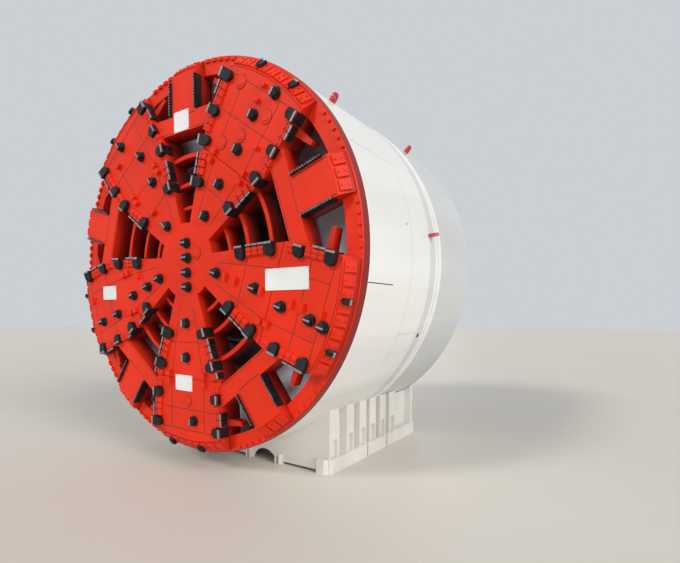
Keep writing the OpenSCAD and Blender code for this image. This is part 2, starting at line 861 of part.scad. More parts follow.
module man_lock_door() {
    color("orange") on_axis()
        translate([lock_x, 0, lock_z]) difference() {
            union() {
                bar(door_r, door_st, door_st + door_t);
                translate([door_r - 30, door_st, -knuckle_h / 2])
                    cube([pin_x - door_r + 30, door_t, knuckle_h]);
                translate([pin_x, pin_st, -knuckle_h / 2])
                    cylinder(r = knuckle_r, h = knuckle_h);
            }
            translate([pin_x, pin_st, -knuckle_h]) cylinder(r = pin_r + 1, h = 2 * knuckle_h);
        }
}

pipe_end = tail_st + 200;
pipe_wall = 20;
pipe_flange = 70;

module slurry_pipes() {
    color("olivedrab") on_axis()
        for (side = [-1, 1])
            translate([side * pipe_x, 0, pipe_z]) difference() {
                union() {
                    bar(pipe_r, bulk_st + bulk_t, pipe_end);
                    bar(pipe_r + pipe_flange, pipe_end - 50, pipe_end);
                }
                bar(pipe_r - pipe_wall, bulk_st + bulk_t + 100, pipe_end + 1);
            }
}

deck_z = -500;
deck_t = 60;
deck_in = drive_d / 2 + 250;
deck_out = lining_in - 400;
deck_st = bulk_st + bulk_t;
deck_end = band_st + 150;

module work_decks() {
    color("darkseagreen") on_axis()
        for (side = [-1, 1])
            translate([side > 0 ? deck_in : -deck_out, deck_st, deck_z])
                cube([deck_out - deck_in, deck_end - deck_st, deck_t]);
}

rail_r = 22;
rail_h = 1100;
rail_posts = 4;
rail_inset = 60;

// Handrail along the inner edge of each deck
module deck_rails() {
    first = deck_st + rib_depth + rail_inset;
    pitch = (deck_end - rail_inset - first) / (rail_posts - 1);
    color("goldenrod") on_axis()
        for (side = [-1, 1])
            translate([side * (deck_in + rail_inset), 0, deck_z + deck_t]) {
                for (k = [0 : rail_posts - 1])
                    translate([0, first + k * pitch, 0]) cylinder(r = rail_r, h = rail_h);
                for (z = [rail_h / 2, rail_h])
                    translate([0, 0, z]) bar(rail_r, first - rail_r, first + 3 * pitch + rail_r);
            }
}

beam_w = 300;
beam_h = 500;
beam_x = motor_pitch_r - gearbox_r - motor_flange - 30 - beam_w / 2;
beam_st = drive_st + drive_len;
beam_end = tail_end - 300;

module erector_beams() {
    color("goldenrod") on_axis()
        for (side = [-1, 1])
            translate([side * beam_x - beam_w / 2, beam_st, -beam_h / 2])
                cube([beam_w, beam_end - beam_st, beam_h]);
}

sled_room = 1050;
sled_st = beam_end - erector_travel - sled_room;
sled_t = 260;
sled_step = 150;
runner_h = 180;
runner_lap = 30;
rotor_t = 300;
rotor_st = sled_st + sled_t + seat;
rotor_out = rotor_in + rotor_w;

// Sliding ring with a runner above and below each beam
module erector_sled() {
    color("goldenrod") on_axis() {
        tube(rotor_out - sled_step, rotor_in, sled_st, sled_st + sled_t);
        for (side = [-1, 1], top = [-1, 1])
            translate([side > 0 ? beam_x - beam_w / 2 : -rotor_in - runner_lap, sled_st,
                       top > 0 ? beam_h / 2 + seat : -beam_h / 2 - seat - runner_h])
                cube([rotor_in + runner_lap - beam_x + beam_w / 2, sled_t, runner_h]);
    }
}

// The plate that picks up a lining segment, seen when the arms are all out
plate_r = lining_in - 60;
plate_d = 90;
plate_angle = 13.8;
arm_x = rotor_in + arm_offset;
arm_w = 260;
arm_st = rotor_st + rotor_t + 40;
guide_w = 380;
guide_wall = 60;
guide_top = 700;
guide_low = -1900;
yoke_h = 300;
stem_h = 700;
stem_w = 900;
stem_len = 600;
arm_top = 600;
arm_low = arm_travel - plate_r + stem_h + yoke_h;
counter_w = 1800;
counter_h = 850;

module erector_rotor() {
    color("goldenrod") on_axis() difference() {
        union() {
            tube(rotor_out, rotor_in, rotor_st, rotor_st + rotor_t);
            for (side = [-1, 1])
                translate([side * arm_x - guide_w / 2, rotor_st + 1, guide_low])
                    cube([guide_w, arm_st + arm_w + guide_wall - rotor_st - 1,
                          guide_top - guide_low]);
            translate([-counter_w / 2, rotor_st, rotor_out - 50])
                cube([counter_w, rotor_t, counter_h + 50]);
        }
        for (side = [-1, 1])
            translate([side * arm_x - arm_w / 2 - seat, arm_st - seat, guide_low - 1])
                cube([arm_w + 2 * seat, arm_w + 2 * seat, guide_top - guide_low + 2]);
    }
}

module erector_arms() {
    color("gold") on_axis() {
        for (side = [-1, 1])
            translate([side * arm_x - arm_w / 2, arm_st, arm_low])
                cube([arm_w, arm_w, arm_top - arm_low]);
        translate([-arm_x - arm_w / 2, arm_st, arm_low - yoke_h])
            cube([2 * arm_x + arm_w, arm_w, yoke_h + 1]);
        translate([-stem_w / 2, arm_st + arm_w / 2 - stem_len / 2, arm_travel - plate_r + plate_d / 2])
            cube([stem_w, stem_len, stem_h + 1]);
        translate([0, 0, arm_travel])
            slab(arm_st + arm_w / 2 - 2 * arm_w, arm_st + arm_w / 2 + 2 * arm_w) intersection() {
                difference() {
                    circle(r = plate_r, $fn = large_fn);
                    circle(r = plate_r - plate_d, $fn = large_fn);
                }
                rotate(-90) wedge(plate_angle);
            }
    }
}

saddle_r = shield_r + seat;
column_depth = 260;
wall_inset = 80;
pocket_inset = 80;
pocket_h = 560;
pocket_depth = 120;
foot_step = 60;
foot_w = 560;
foot_lead = 110;
foot_cut = 200;
arch_r = 520;
arch_drop = 150;
arches = [-1175, 1175];
// Low gaps under the end plates: distance across and half width
low_gaps = [[-2575, 625], [0, 430], [2575, 625]];
low_gap_h = 70;
// Pairs of plates on the front: distance across
front_lugs = [-1810, -560, 560, 1810];
front_lug_t = 50;
front_lug_gap = 90;
front_lug_len = 160;
front_lug_h = 320;

// Flat outline of the cradle under the shield, between two distances across
module cradle_outline(in, out) {
    difference() {
        for (side = [-1, 1])
            translate([side > 0 ? in : -out, -axis_h]) square([out - in, axis_h - shield_r / 2]);
        circle(r = saddle_r, $fn = large_fn);
    }
}

// Plan of the foot beam on one side, chamfered where the cradle begins
module foot_plan(st, length, lead) {
    out = cradle_half + foot_step;
    in = out - foot_w;
    cut = lead > 0 ? foot_cut : 0;
    polygon([[in + cut / 2, st - lead], [out - cut, st - lead], [out, st - lead + cut],
             [out, st + length], [in, st + length], [in, st - lead + cut / 2]]);
}

// One cradle section, with columns given by their distance from its start and their width
module cradle_part(st, length, columns, lead) {
    wall_out = cradle_half - column_depth;
    wall_in = wall_out - wall_inset;
    color("whitesmoke") on_axis() difference() {
        union() {
            slab(st, st + length) cradle_outline(0, wall_out);
            for (c = columns)
                slab(st + c[0], st + c[0] + c[1]) cradle_outline(wall_in, cradle_half);
            for (side = [0, 1])
                mirror([side, 0, 0]) translate([0, 0, -axis_h])
                    linear_extrude(height = foot_h) foot_plan(st, length, lead);
            if (lead > 0)
                for (x = front_lugs, side = [-1, 1])
                    translate([x + side * (front_lug_gap + front_lug_t) / 2 - front_lug_t / 2,
                               st - front_lug_len, -axis_h])
                        cube([front_lug_t, front_lug_len + 1, front_lug_h]);
        }
        slab(st + cradle_t, st + length - cradle_t) difference() {
            translate([-wall_in, -axis_h - 1]) square([2 * wall_in, axis_h]);
            circle(r = saddle_r + cradle_t, $fn = large_fn);
        }
        bar(tail_r + band_h + seat, band_st - seat, tail_st + seat);
        slab(st - 1, st + length + 1) {
            for (x = arches) translate([x, -axis_h - arch_drop]) circle(r = arch_r);
            for (g = low_gaps)
                translate([g[0] - g[1], -axis_h - 1]) square([2 * g[1], low_gap_h + 1]);
        }
        for (c = columns, side = [-1, 1])
            if (c[2] > 0)
                translate([side > 0 ? cradle_half - pocket_depth : -cradle_half - 1,
                           st + c[0] + pocket_inset, foot_h - axis_h])
                    cube([pocket_depth + 1, c[1] - 2 * pocket_inset, pocket_h]);
    }
}

// Columns of each section: distance from its start, width, 1 where it has a pocket
front_columns = [[0, 520, 1], [1010, 460, 1], [1850, 470, 1]];
middle_columns = [[230, 470, 1], [1010, 470, 1]];
rear_columns = [[300, 510, 1], [2230, 230, 0]];

module cradle_front() { cradle_part(cradle_st, cradle_front_len, front_columns, foot_lead); }
module cradle_middle() {
    cradle_part(cradle_st + cradle_front_len, cradle_middle_len, middle_columns, 0);
}
module cradle_rear() {
    cradle_part(cradle_st + cradle_front_len + cradle_middle_len, cradle_rear_len, rear_columns, 0);
}

wheel_centre();
wheel_segments();
wheel_tee_arms();
wheel_rim();
wheel_ring_beams();
wheel_rippers();
wheel_scrapers();
wheel_tool_pads();
wheel_bosses();
wheel_gauge_blocks();
wheel_paddles();
tee_wear_plates();
wheel_sign_plates();
wheel_legs();
drive_rotor();
front_shield();
submerged_wall();
pressure_bulkhead();
bulkhead_ribs();
drive_housing();
drive_motors();
centre_shield();
shield_band();
tail_shield();
tail_brushes();
lifting_lugs();
cylinder_ring();
thrust_barrels();
thrust_rods_top();
thrust_rods_right();
thrust_rods_bottom();
thrust_rods_left();
man_lock();
man_lock_door();
slurry_pipes();
work_decks();
deck_rails();
erector_beams();
erector_sled();
erector_rotor();
erector_arms();
cradle_front();
cradle_middle();
cradle_rear();
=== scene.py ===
"""The looks of a slurry shield tunnel boring machine that stands on its cradle.

The frame brings the machine's solids. This file gives each of them a finish and adds what is too
fine for the solids: hard metal tips, gauge cutters, bolts, weld beads, plugs, seals, covers, brush
wires, fins, boxes and pipes.
"""
import json
import math

import bpy
import numpy as np
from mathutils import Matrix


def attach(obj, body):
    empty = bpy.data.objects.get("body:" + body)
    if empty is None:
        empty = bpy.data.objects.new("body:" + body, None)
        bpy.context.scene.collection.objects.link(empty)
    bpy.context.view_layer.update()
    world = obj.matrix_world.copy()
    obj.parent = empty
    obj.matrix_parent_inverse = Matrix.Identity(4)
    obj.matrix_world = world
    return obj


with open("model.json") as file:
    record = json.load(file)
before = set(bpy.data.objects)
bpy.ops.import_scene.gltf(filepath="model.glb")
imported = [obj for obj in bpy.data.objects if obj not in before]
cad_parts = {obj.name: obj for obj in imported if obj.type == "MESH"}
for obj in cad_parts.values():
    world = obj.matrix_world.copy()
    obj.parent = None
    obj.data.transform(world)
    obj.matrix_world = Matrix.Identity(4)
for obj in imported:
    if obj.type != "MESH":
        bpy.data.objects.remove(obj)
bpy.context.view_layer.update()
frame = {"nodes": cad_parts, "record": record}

# Sizes of the machine in metres, as its source has them; a station counts from the rim's front
WHEEL_R = 5.82
HUB_R = 1.12
ROOT_R, TAPER_BACK = 1.0, 2.26
TAPER_R = WHEEL_R - TAPER_BACK
SPOKE_ROOT, SPOKE_SEAM, SPOKE_TIP = 0.48, 1.42, 1.52
SEAM_SHARE = (0.487, 0.502, 0.594, 0.579, 0.615)
FACE = -0.34
FACE_R = WHEEL_R - 0.37
RIM_W = 0.47
GAUGE_ANGLE = math.atan2(0.30, 0.31)
BLOCK_TURN, BLOCK_TOP = 3.3, 0.0503
RIPPER_R, RIPPER_H, SOCKET_H = 0.15, 0.20, 0.07
BOSS_R, BOSS_TOP = 0.18, 0.0225
EDGE_FIRST, EDGE_PITCH, EDGE_R, EDGE_COUNT = 0.82, 0.96, 0.14, 4
SCRAPER_LEN, SCRAPER_PITCH = 0.19, 0.2
TOOL_GAP, RIPPER_TO_SEAM, SCRAPER_TO_SEAM = 0.01, 0.17, 0.14
TEE_IN, TEE_HEAD, STEM_HALF = WHEEL_R - 2.04, 0.52, 0.52
WEAR_TEETH, WEAR_GAP = 12, 0.02
SHIELD_R = 5.80
TAIL_R = 5.785
TAIL_IN = 5.725
LINING_OUT = 5.60
AXIS_Z = 6.40
CENTRE_ST, BAND_ST, TAIL_ST, TAIL_END = 2.90, 4.95, 5.15, 8.20
TIP_LEAD = 0.54
MID_ST = (TAIL_END - TIP_LEAD) / 2
BRUSH_ROWS, BRUSH_PITCH = 3, 0.19
DRIVE_R, DRIVE_END = 2.55, 3.40
MOTOR_C, MOTOR_R, MOTOR_ST = 2.0, 0.24, DRIVE_END + 0.84
MOTOR_TURNS = tuple(15 + 30 * k for k in range(12))
PORT_C, PORT_R, PORT_ST, COVER_T = 1.50, 0.3303, 1.85, 0.04
BULK_END = 2.88
BARREL_R, CYL_R, PAIRS, PAIR_HALF = 0.15, 5.35, 14, 5.2
SHOE_END, SHOE_LEN = 5.4103, 0.121
LOCK_C, LOCK_ANGLE, LOCK_END, DOOR_END = 3.69, math.radians(62), 4.63, 4.6903
PIPE_C, PIPE_ANGLE, PIPE_END = 4.49, 14, 5.35
ROTOR_BACK, ROTOR_BOLT_R = 6.4103, 2.25
CRADLE_HALF, FOOT_H = 3.70, 0.45
FOOT_OUT, CRADLE_WALL = CRADLE_HALF + 0.06, CRADLE_HALF - 0.26
# Start and length of each section of the cradle, and its columns: distance and width
SECTIONS = ((1.9, 2.32, ((0, .52), (1.01, .46), (1.85, .47))),
            (4.22, 1.48, ((.23, .47), (1.01, .47))), (5.7, 2.46, ((.3, .51), (2.23, .23))))
SPOKES = tuple(-90 + 72 * k for k in range(5))
TEES = tuple(a + 36 for a in SPOKES)

# Camera: place in metres, heading and tilt in radians, lens in millimetres on a 36 mm sensor
CAMERA_PLACE = (11.049, -13.574, 4.903)
CAMERA_YAW = 0.632
CAMERA_PITCH = -0.061
CAMERA_ROLL = -0.001
CAMERA_LENS = 24.76
CAMERA_SHIFT = (0.062, 0.0854)
# Lamps: name, the direction they shine in, strength, softness in degrees and colour
LAMPS = (("key_lamp", (0.35, 1.0, -0.75), 1.4, 12, (1.0, 0.97, 0.93)),
         ("front_lamp", (-0.45, 1.0, -0.12), 0.65, 20, (1.0, 0.98, 0.96)),
         ("side_lamp", (-1.0, 0.25, -0.55), 1.95, 35, (1.0, 0.98, 0.95)),
         ("back_lamp", (0.5, -1.0, -0.02), 0.6, 20, (1.0, 0.98, 0.96)))
SKY, SKY_STRENGTH, BACKDROP = (0.86, 0.93, 1.0, 1), 0.42, (0.60, 0.63, 0.66, 1)
FLOOR_R, FLOOR_SIDES = 140, 96


# ---- Finishes -------------------------------------------------------------------------------


class Value:
    """A number socket of a finish. Each operator adds one Math node and gives a new value."""

    def __init__(self, finish, socket):
        self.finish = finish
        self.socket = socket

    def _math(self, operation, a, b=0.0):
        return self.finish.node("ShaderNodeMath", {"operation": operation}, {0: a, 1: b})

    def __add__(self, other):
        return self._math("ADD", self, other)

    __radd__ = __add__

    def __sub__(self, other):
        return self._math("SUBTRACT", self, other)

    def __rsub__(self, other):
        return self._math("SUBTRACT", other, self)

    def __mul__(self, other):
        return self._math("MULTIPLY", self, other)

    __rmul__ = __mul__

    def __pow__(self, other):
        return self._math("POWER", self, other)

    def __gt__(self, other):
        return self._math("GREATER_THAN", self, other)

    def fraction(self):
        """What is left past the whole number."""
        return self._math("FRACT", self)

    def size(self):
        """The value without its sign."""
        return self._math("ABSOLUTE", self)


class Finish:
    """One surface finish: a Principled shader and the nodes that vary it over the surface."""

    def __init__(self, name, colour, roughness, metallic=0.0, coat=0.0):
        self.material = bpy.data.materials.new(name)
        self.material.use_nodes = True
        self.tree = self.material.node_tree
        self.shader = self.tree.nodes["Principled BSDF"]
        self.shader.inputs["Base Color"].default_value = (*colour, 1)
        self.shader.inputs["Roughness"].default_value = roughness
        self.shader.inputs["Metallic"].default_value = metallic
        self.shader.inputs["Coat Weight"].default_value = coat
        self.shader.inputs["Coat Roughness"].default_value = 0.12
        self.material.diffuse_color = (*colour, 1)
        self.places = {}

    def node(self, kind, settings=None, inputs=None, output=0):
        """Adds one node: its settings first, then each input by number or name."""
        made = self.tree.nodes.new(kind)
        for key, value in (settings or {}).items():
            setattr(made, key, value)
        for key, value in (inputs or {}).items():
            if isinstance(value, Value):
                self.tree.links.new(value.socket, made.inputs[key])
            else:
                made.inputs[key].default_value = value
        return Value(self, made.outputs[output])

    def feed(self, name, value):
        """Links a value to a socket of the shader."""
        self.tree.links.new(value.socket, self.shader.inputs[name])

    def stretched(self, scale):
        """The object's own coordinates, times a factor on each axis."""
        if scale not in self.places:
            where = self.node("ShaderNodeTexCoord", output="Object")
            self.places[scale] = self.node(
                "ShaderNodeVectorMath", {"operation": "MULTIPLY"}, {0: where, 1: scale})
        return self.places[scale]

    def axes(self, scale=(1.0, 1.0, 1.0)):
        """The object's own x, y and z, times a factor on each axis, as three values."""
        split = self.node("ShaderNodeSeparateXYZ", {}, {0: self.stretched(scale)}).socket.node
        return [Value(self, split.outputs[axis]) for axis in "XYZ"]

    def noise(self, scale, detail=3.0, roughness=0.55):
        """Clouds from 0 to 1; the scale gives how many to the metre on each axis."""
        return self.node("ShaderNodeTexNoise", {},
                         {"Vector": self.stretched(scale), "Scale": 1.0, "Detail": detail,
                          "Roughness": roughness}, "Fac")

    def band(self, value, low, high, to_low=0.0, to_high=1.0):
        """Maps a value from low..high to to_low..to_high, held at both ends."""
        return self.node("ShaderNodeMapRange", {"clamp": True},
                         {0: value, 1: low, 2: high, 3: to_low, 4: to_high})

    def place_along(self):
        """The distance along the machine, in metres from the middle of its length."""
        return self.axes()[1]

    def place_round(self):
        """The distance from the machine's axis, in metres: sqrt(x x + z z)."""
        x, _, z = self.axes()
        z = z - AXIS_Z
        return (x * x + z * z) ** 0.5

    def mix(self, share, first, second):
        """The first colour where the share is 0 and the second where it is 1."""
        first = first if isinstance(first, Value) else (*first, 1)
        second = second if isinstance(second, Value) else (*second, 1)
        return self.node("ShaderNodeMix", {"data_type": "RGBA"}, {0: share, 6: first, 7: second},
                         2)

    def relief(self, height, distance):
        """Feeds a height in metres times distance to the shader's normal."""
        self.feed("Normal", self.node("ShaderNodeBump", {},
                                      {"Strength": 0.6, "Distance": distance, "Height": height}))


def shade(colour, factor):
    """A colour made darker or brighter by a factor."""
    return tuple(min(1.0, c * factor) for c in colour)


DUST_GREY, WORN_GREY = 0.55, 0.35


def painted(name, colour, roughness=0.35, coat=0.3, dust=0.25, zones=(), grain=(.45, .45, .45),
            rings=()):
    """Sprayed paint on plate: slow changes of tone, dust in flecks and streaks that dull it.

    A zone is a place along the machine where its colour sets in, one where it has all of it, and
    the colour. Zones follow one another, each over the one before. Rings are the same by the
    distance from the machine's axis.
    """
    finish = Finish(name, colour, roughness, coat=coat)
    tone = finish.band(finish.noise(grain, 4), 0.3, 0.7)
    fleck = finish.band(finish.noise((7.0, 7.0, 4.0), 5, 0.7), 0.55, 0.8)
    streak = finish.band(finish.noise((2.5, 2.5, 0.3), 3, 0.5), 0.5, 0.85)
    pale = tuple(0.75 * c + 0.25 * DUST_GREY for c in colour)
    body = finish.mix(tone, shade(colour, 0.88), shade(colour, 1.06))
    for place, rows in ((finish.place_along, zones), (finish.place_round, rings)):
        for start, end, tint in rows:
            body = finish.mix(finish.band(place(), start, end), body,
                              finish.mix(tone, shade(tint, 0.9), shade(tint, 1.06)))
    dusty = finish.mix(fleck * dust, body, pale)
    finish.feed("Base Color", finish.mix(streak * (dust * 0.7), dusty, shade(colour, 0.72)))
    finish.feed("Roughness", finish.band(fleck + streak, 0, 2, roughness, roughness + dust))
    return finish


def cast_steel(name, colour, roughness, metallic=0.5, wear=0.35):
    """Dark hard steel: mottled scale, brighter rubbed patches and a rough skin."""
    finish = Finish(name, colour, roughness, metallic=metallic)
    scale = finish.band(finish.noise((6.0, 6.0, 6.0), 5, 0.65), 0.35, 0.7)
    rubbed = finish.band(finish.noise((16.0, 16.0, 16.0), 3), 0.58, 0.75)
    dark = finish.mix(scale, shade(colour, 0.6), shade(colour, 1.5))
    bright = tuple(0.5 * c + 0.5 * WORN_GREY for c in colour)
    finish.feed("Base Color", finish.mix(rubbed * wear, dark, bright))
    finish.feed("Roughness", finish.band(scale, 0, 1, roughness - 0.12, roughness + 0.15))
    finish.relief(finish.noise((60.0, 60.0, 60.0), 4), 0.004)
    return finish


def bright_steel(name, colour, roughness, grain=(40.0, 2.0, 40.0), dull_from=None):
    """Machined steel: fine scratches along the axis, a little clouded; dull past a place."""
    finish = Finish(name, colour, roughness, metallic=1.0)
    scratch = finish.noise(grain, 4, 0.7)
    cloud = finish.band(finish.noise((1.5, 1.5, 1.5), 3), 0.3, 0.7)
    body = finish.mix(cloud, shade(colour, 0.85), shade(colour, 1.08))
    gloss = finish.band(scratch, 0.3, 0.7, roughness * 0.7, roughness * 1.5)
    if dull_from is not None:
        dull = finish.place_along() > dull_from
        body = finish.mix(dull, body, finish.mix(cloud, (0.16, 0.16, 0.16), (0.26, 0.26, 0.25)))
        gloss = gloss + dull * 0.4
    finish.feed("Base Color", body)
    finish.feed("Roughness", gloss)
    finish.relief(scratch, 0.001)
    return finish


def chequer_deck(name, colour):
    """Open deck grating: dark squares of painted shade between bars, sixteen to the metre, worn on
    top.

    A square is where |fraction(16 x) - 0.5| and |fraction(16 y) - 0.5| are both under 0.34.
    """
    finish = Finish(name, colour, 0.5, metallic=0.2)
    x, y, _ = finish.axes((16.0, 16.0, 16.0))
    across, along = (x.fraction() - 0.5).size(), (y.fraction() - 0.5).size()
    opening_shade = (0.34 - across > 0.0) * (0.34 - along > 0.0)
    wear = finish.band(finish.noise((4.0, 4.0, 4.0), 4), 0.4, 0.7)
    body = finish.mix(wear, shade(colour, 0.8), shade(colour, 1.15))
    # Painted shade: the openings between the bars are near-black
    finish.feed("Base Color", finish.mix(opening_shade * 0.85, body, (0.02, 0.02, 0.02)))
    finish.feed("Roughness", finish.band(wear, 0, 1, 0.4, 0.65))
    finish.relief(1 - opening_shade, 0.01)
    return finish


def brush_wire(name, colour):
    """Packed steel wires: fine bright and dark lines round the ring."""
    finish = Finish(name, colour, 0.45, metallic=0.8)
    wire = finish.noise((120.0, 6.0, 120.0), 3, 0.7)
    clump = finish.noise((9.0, 2.0, 9.0), 3)
    body = finish.mix(finish.band(wire, 0.3, 0.7), shade(colour, 0.35), shade(colour, 1.6))
    finish.feed("Base Color", finish.mix(finish.band(clump, 0.45, 0.75) * 0.5, body,
                                         (0.16, 0.11, 0.07)))
    finish.relief(wire, 0.006)
    return finish


# Colours, and zones of them: where each sets in and where it has all of it, along the machine
RED = (0.70, 0.024, 0.003)
# A deeper red: painted shade just behind the wheel's face, and the bolts' own paint
DEEP_RED = (0.40, 0.014, 0.007)
# Painted shade: a near-black red for the wheel's parts far behind its face
SHADE_RED = (0.10, 0.006, 0.004)
WHITE = (0.84, 0.832, 0.80)
STRIPE = (0.66, 0.655, 0.64)
TAIL_WHITE = (0.59, 0.60, 0.595)
# Paint of the shield: a greyer strip, a brighter band round the joint, then the tail plate
SHIELD_ZONES = ((0.44, 0.47, STRIPE), (0.90, 0.93, (0.86, 0.855, 0.84)),
                (1.46, 1.49, TAIL_WHITE))
# Painted shade on the wheel: its red gets darker behind the face, where the openings lie in shade
WHEEL_SHADE_ZONES = ((-4.14, -3.86, DEEP_RED), (-3.95, -3.45, SHADE_RED))
FINISHES = {
    "red": painted("wheel_paint_depth_shade", RED, 0.42, 0.0, 0.1, WHEEL_SHADE_ZONES),
    "tool": cast_steel("tool_steel", (0.012, 0.012, 0.014), 0.5, 0.2, 0.12),
    # Painted reflection: the shield's tone runs in long soft bands along the machine, for bands of
    # reflected light
    "white": painted("shield_paint_reflection_bands", WHITE, 0.3, 0.35, 0.05, SHIELD_ZONES, (.6, .09, .6)),
    "sign": painted("sign_sheet", (0.74, 0.75, 0.75), 0.25, 0.5, 0.03),
    "grey": painted("grey_paint", (0.42, 0.43, 0.42), 0.45, 0.1, 0.3),
    "drive": painted("drive_paint", (0.07, 0.16, 0.25), 0.35, 0.3, 0.25),
    "steel": brush_wire("brush_wire", (0.34, 0.33, 0.31)),
    "dark": cast_steel("rotor_steel", (0.035, 0.035, 0.04), 0.4, 0.6),
    "lug": painted("lug_paint", (0.52, 0.012, 0.016), 0.35, 0.3, 0.15),
    "yellow": painted("erector_paint", (0.72, 0.36, 0.03), 0.4, 0.2, 0.3),
    "green": painted("pipe_paint", (0.06, 0.17, 0.09), 0.38, 0.25, 0.3),
    "rod": bright_steel("chrome_rod", (0.72, 0.73, 0.75), 0.14,
                        dull_from=SHOE_END - SHOE_LEN - MID_ST),
}
# Painted shade: the rim's outermost 20 mm is a dark red, for the shade on its outer edge and in the
# gap behind it
RIM_RED_SHADED_EDGE = painted("rim_paint_shaded_edge", RED, 0.42, 0.0, 0.1,
                  rings=((WHEEL_R - 0.02, WHEEL_R - 0.008, (0.24, 0.010, 0.006)),))
# Painted shade: the ring beams darken from the face backwards, where they lie in shade behind the
# spokes
BEAM_RED_SHADED = painted("beam_paint_depth_shade", RED, 0.45, 0.0, 0.15,
                   zones=((-3.92, -3.86, DEEP_RED), (-3.86, -3.5, SHADE_RED)))
# Painted shade: the legs behind the wheel are a very dark red, for the shade they stand in
LEG_RED_SHADED = painted("leg_paint_shaded", (0.16, 0.008, 0.005), 0.5, 0.05, 0.2)
# Wheel and tools are less glossy than new paint and steel
for dull in (FINISHES["red"], FINISHES["tool"], RIM_RED_SHADED_EDGE, BEAM_RED_SHADED):
    dull.shader.inputs["Specular IOR Level"].default_value = 0.25
# Painted shade: the chamber's walls are near-black within 3.3 m of the axis, where they lie deep in
# shade, and pale paint beyond 3.5 m
INNER_PAINT_SHADED = painted("inner_paint_shaded_centre", (0.05, 0.045, 0.05), 0.5, 0.05, 0.1,
                      rings=((3.3, 3.5, (0.84, 0.83, 0.92)),))
LOCK_WHITE = painted("lock_paint", (0.70, 0.70, 0.68), 0.4, 0.2, 0.2)
DECK = chequer_deck("deck_grating", (0.20, 0.27, 0.22))
# Cream paint, warmed a little: partly its own colour, partly painted reflection of red light from
# the floor
CRADLE = painted("cradle_paint", (0.68, 0.655, 0.61), 0.4, 0.2, 0.2)
BEAD_RED = painted("weld_red", (0.13, 0.008, 0.005), 0.5, 0.0, 0.1)
BEAD_WHITE = painted("weld_white", shade(WHITE, 0.72), 0.42, 0.1, 0.2)
BOLT_RED = painted("bolt_paint", DEEP_RED, 0.4, 0.2, 0.1)
HARD_METAL = bright_steel("hard_metal", (0.40, 0.40, 0.42), 0.3, (30.0, 30.0, 30.0))
BOLT_STEEL = cast_steel("bolt_steel", (0.16, 0.16, 0.17), 0.38, 0.8)
RUBBER = cast_steel("seal_rubber", (0.012, 0.012, 0.013), 0.6, 0.0, 0.1)
GLASS = Finish("window_glass", (0.05, 0.08, 0.09), 0.08, coat=1.0)
NODE_FINISH = {
    "submerged_wall": INNER_PAINT_SHADED, "pressure_bulkhead": INNER_PAINT_SHADED, "bulkhead_ribs": INNER_PAINT_SHADED,
    "work_decks": DECK, "cradle_front": CRADLE, "cradle_middle": CRADLE, "cradle_rear": CRADLE,
    "wheel_rim": RIM_RED_SHADED_EDGE, "wheel_gauge_blocks": RIM_RED_SHADED_EDGE, "wheel_ring_beams": BEAM_RED_SHADED,
    "wheel_legs": LEG_RED_SHADED, "man_lock": LOCK_WHITE,
}


def dress_nodes():
    """Each solid takes the finish of its own name, or that of its material slot."""
    for row in frame["record"]["subparts"]:
        finish = NODE_FINISH.get(row["node"], FINISHES[row["material_slot"]])
        mesh = frame["nodes"][row["node"]].data
        mesh.materials.clear()
        mesh.materials.append(finish.material)


# ---- Making surfaces ------------------------------------------------------------------------


def surface(name, points, polygons, finish, body, smooth=False):
    """A mesh of points in the machine's frame that rides on a body."""
    mesh = bpy.data.meshes.new(name)
    mesh.from_pydata(np.asarray(points, float).reshape(-1, 3).tolist(), [],
                     [list(p) for p in polygons])
    mesh.polygons.foreach_set("use_smooth", np.full(len(mesh.polygons), smooth))
    mesh.materials.append(finish.material)
    piece = bpy.data.objects.new(name, mesh)
    bpy.context.scene.collection.objects.link(piece)
    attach(piece, body)
    return piece


def grid_faces(rows, columns, closed_rows=False, closed_columns=False):
    """The four corners of every cell of a grid of points, row by row."""
    i = np.arange(rows if closed_rows else rows - 1)
    j = np.arange(columns if closed_columns else columns - 1)
    i, j = np.meshgrid(i, j, indexing="ij")
    a, b = (i + 1) % rows, (j + 1) % columns
    return np.stack([i * columns + j, a * columns + j, a * columns + b, i * columns + b],
                    -1).reshape(-1, 4)


def lathe_form(profile, sides):
    """A small form turned about its local y: corner = (r cos t, h, r sin t), closed by two caps.

    The profile lists (radius, height) from the foot to the top; y points out of the seat.
    """
    profile = np.array(profile, float)
    turn = np.arange(sides) * 2 * math.pi / sides
    corners = np.stack([profile[:, :1] * np.cos(turn), np.repeat(profile[:, 1:], sides, 1),
                        profile[:, :1] * np.sin(turn)], -1).reshape(-1, 3)
    faces = grid_faces(len(profile), sides, closed_columns=True).tolist()
    last = (len(profile) - 1) * sides
    faces.append(list(range(sides)))
    faces.append([last + k for k in range(sides)][::-1])
    return corners, faces


def box_form(size, bevel):
    """A block with bevelled edges: each of three rings is the square drawn in by the bevel.

    Its foot lies at local y = 0 and it rises along y.
    """
    w, h, d = size[0] / 2, size[1], size[2] / 2
    rings = [(w, 0.0, d), (w, h - bevel, d), (w - bevel, h, d - bevel)]
    signs = np.array([(-1, -1), (1, -1), (1, 1), (-1, 1)])
    corners = np.array([[s[0] * r[0], r[1], s[1] * r[2]] for r in rings for s in signs])
    faces = grid_faces(3, 4, closed_columns=True).tolist()
    faces.append([0, 1, 2, 3])
    faces.append([11, 10, 9, 8])
    return corners, faces


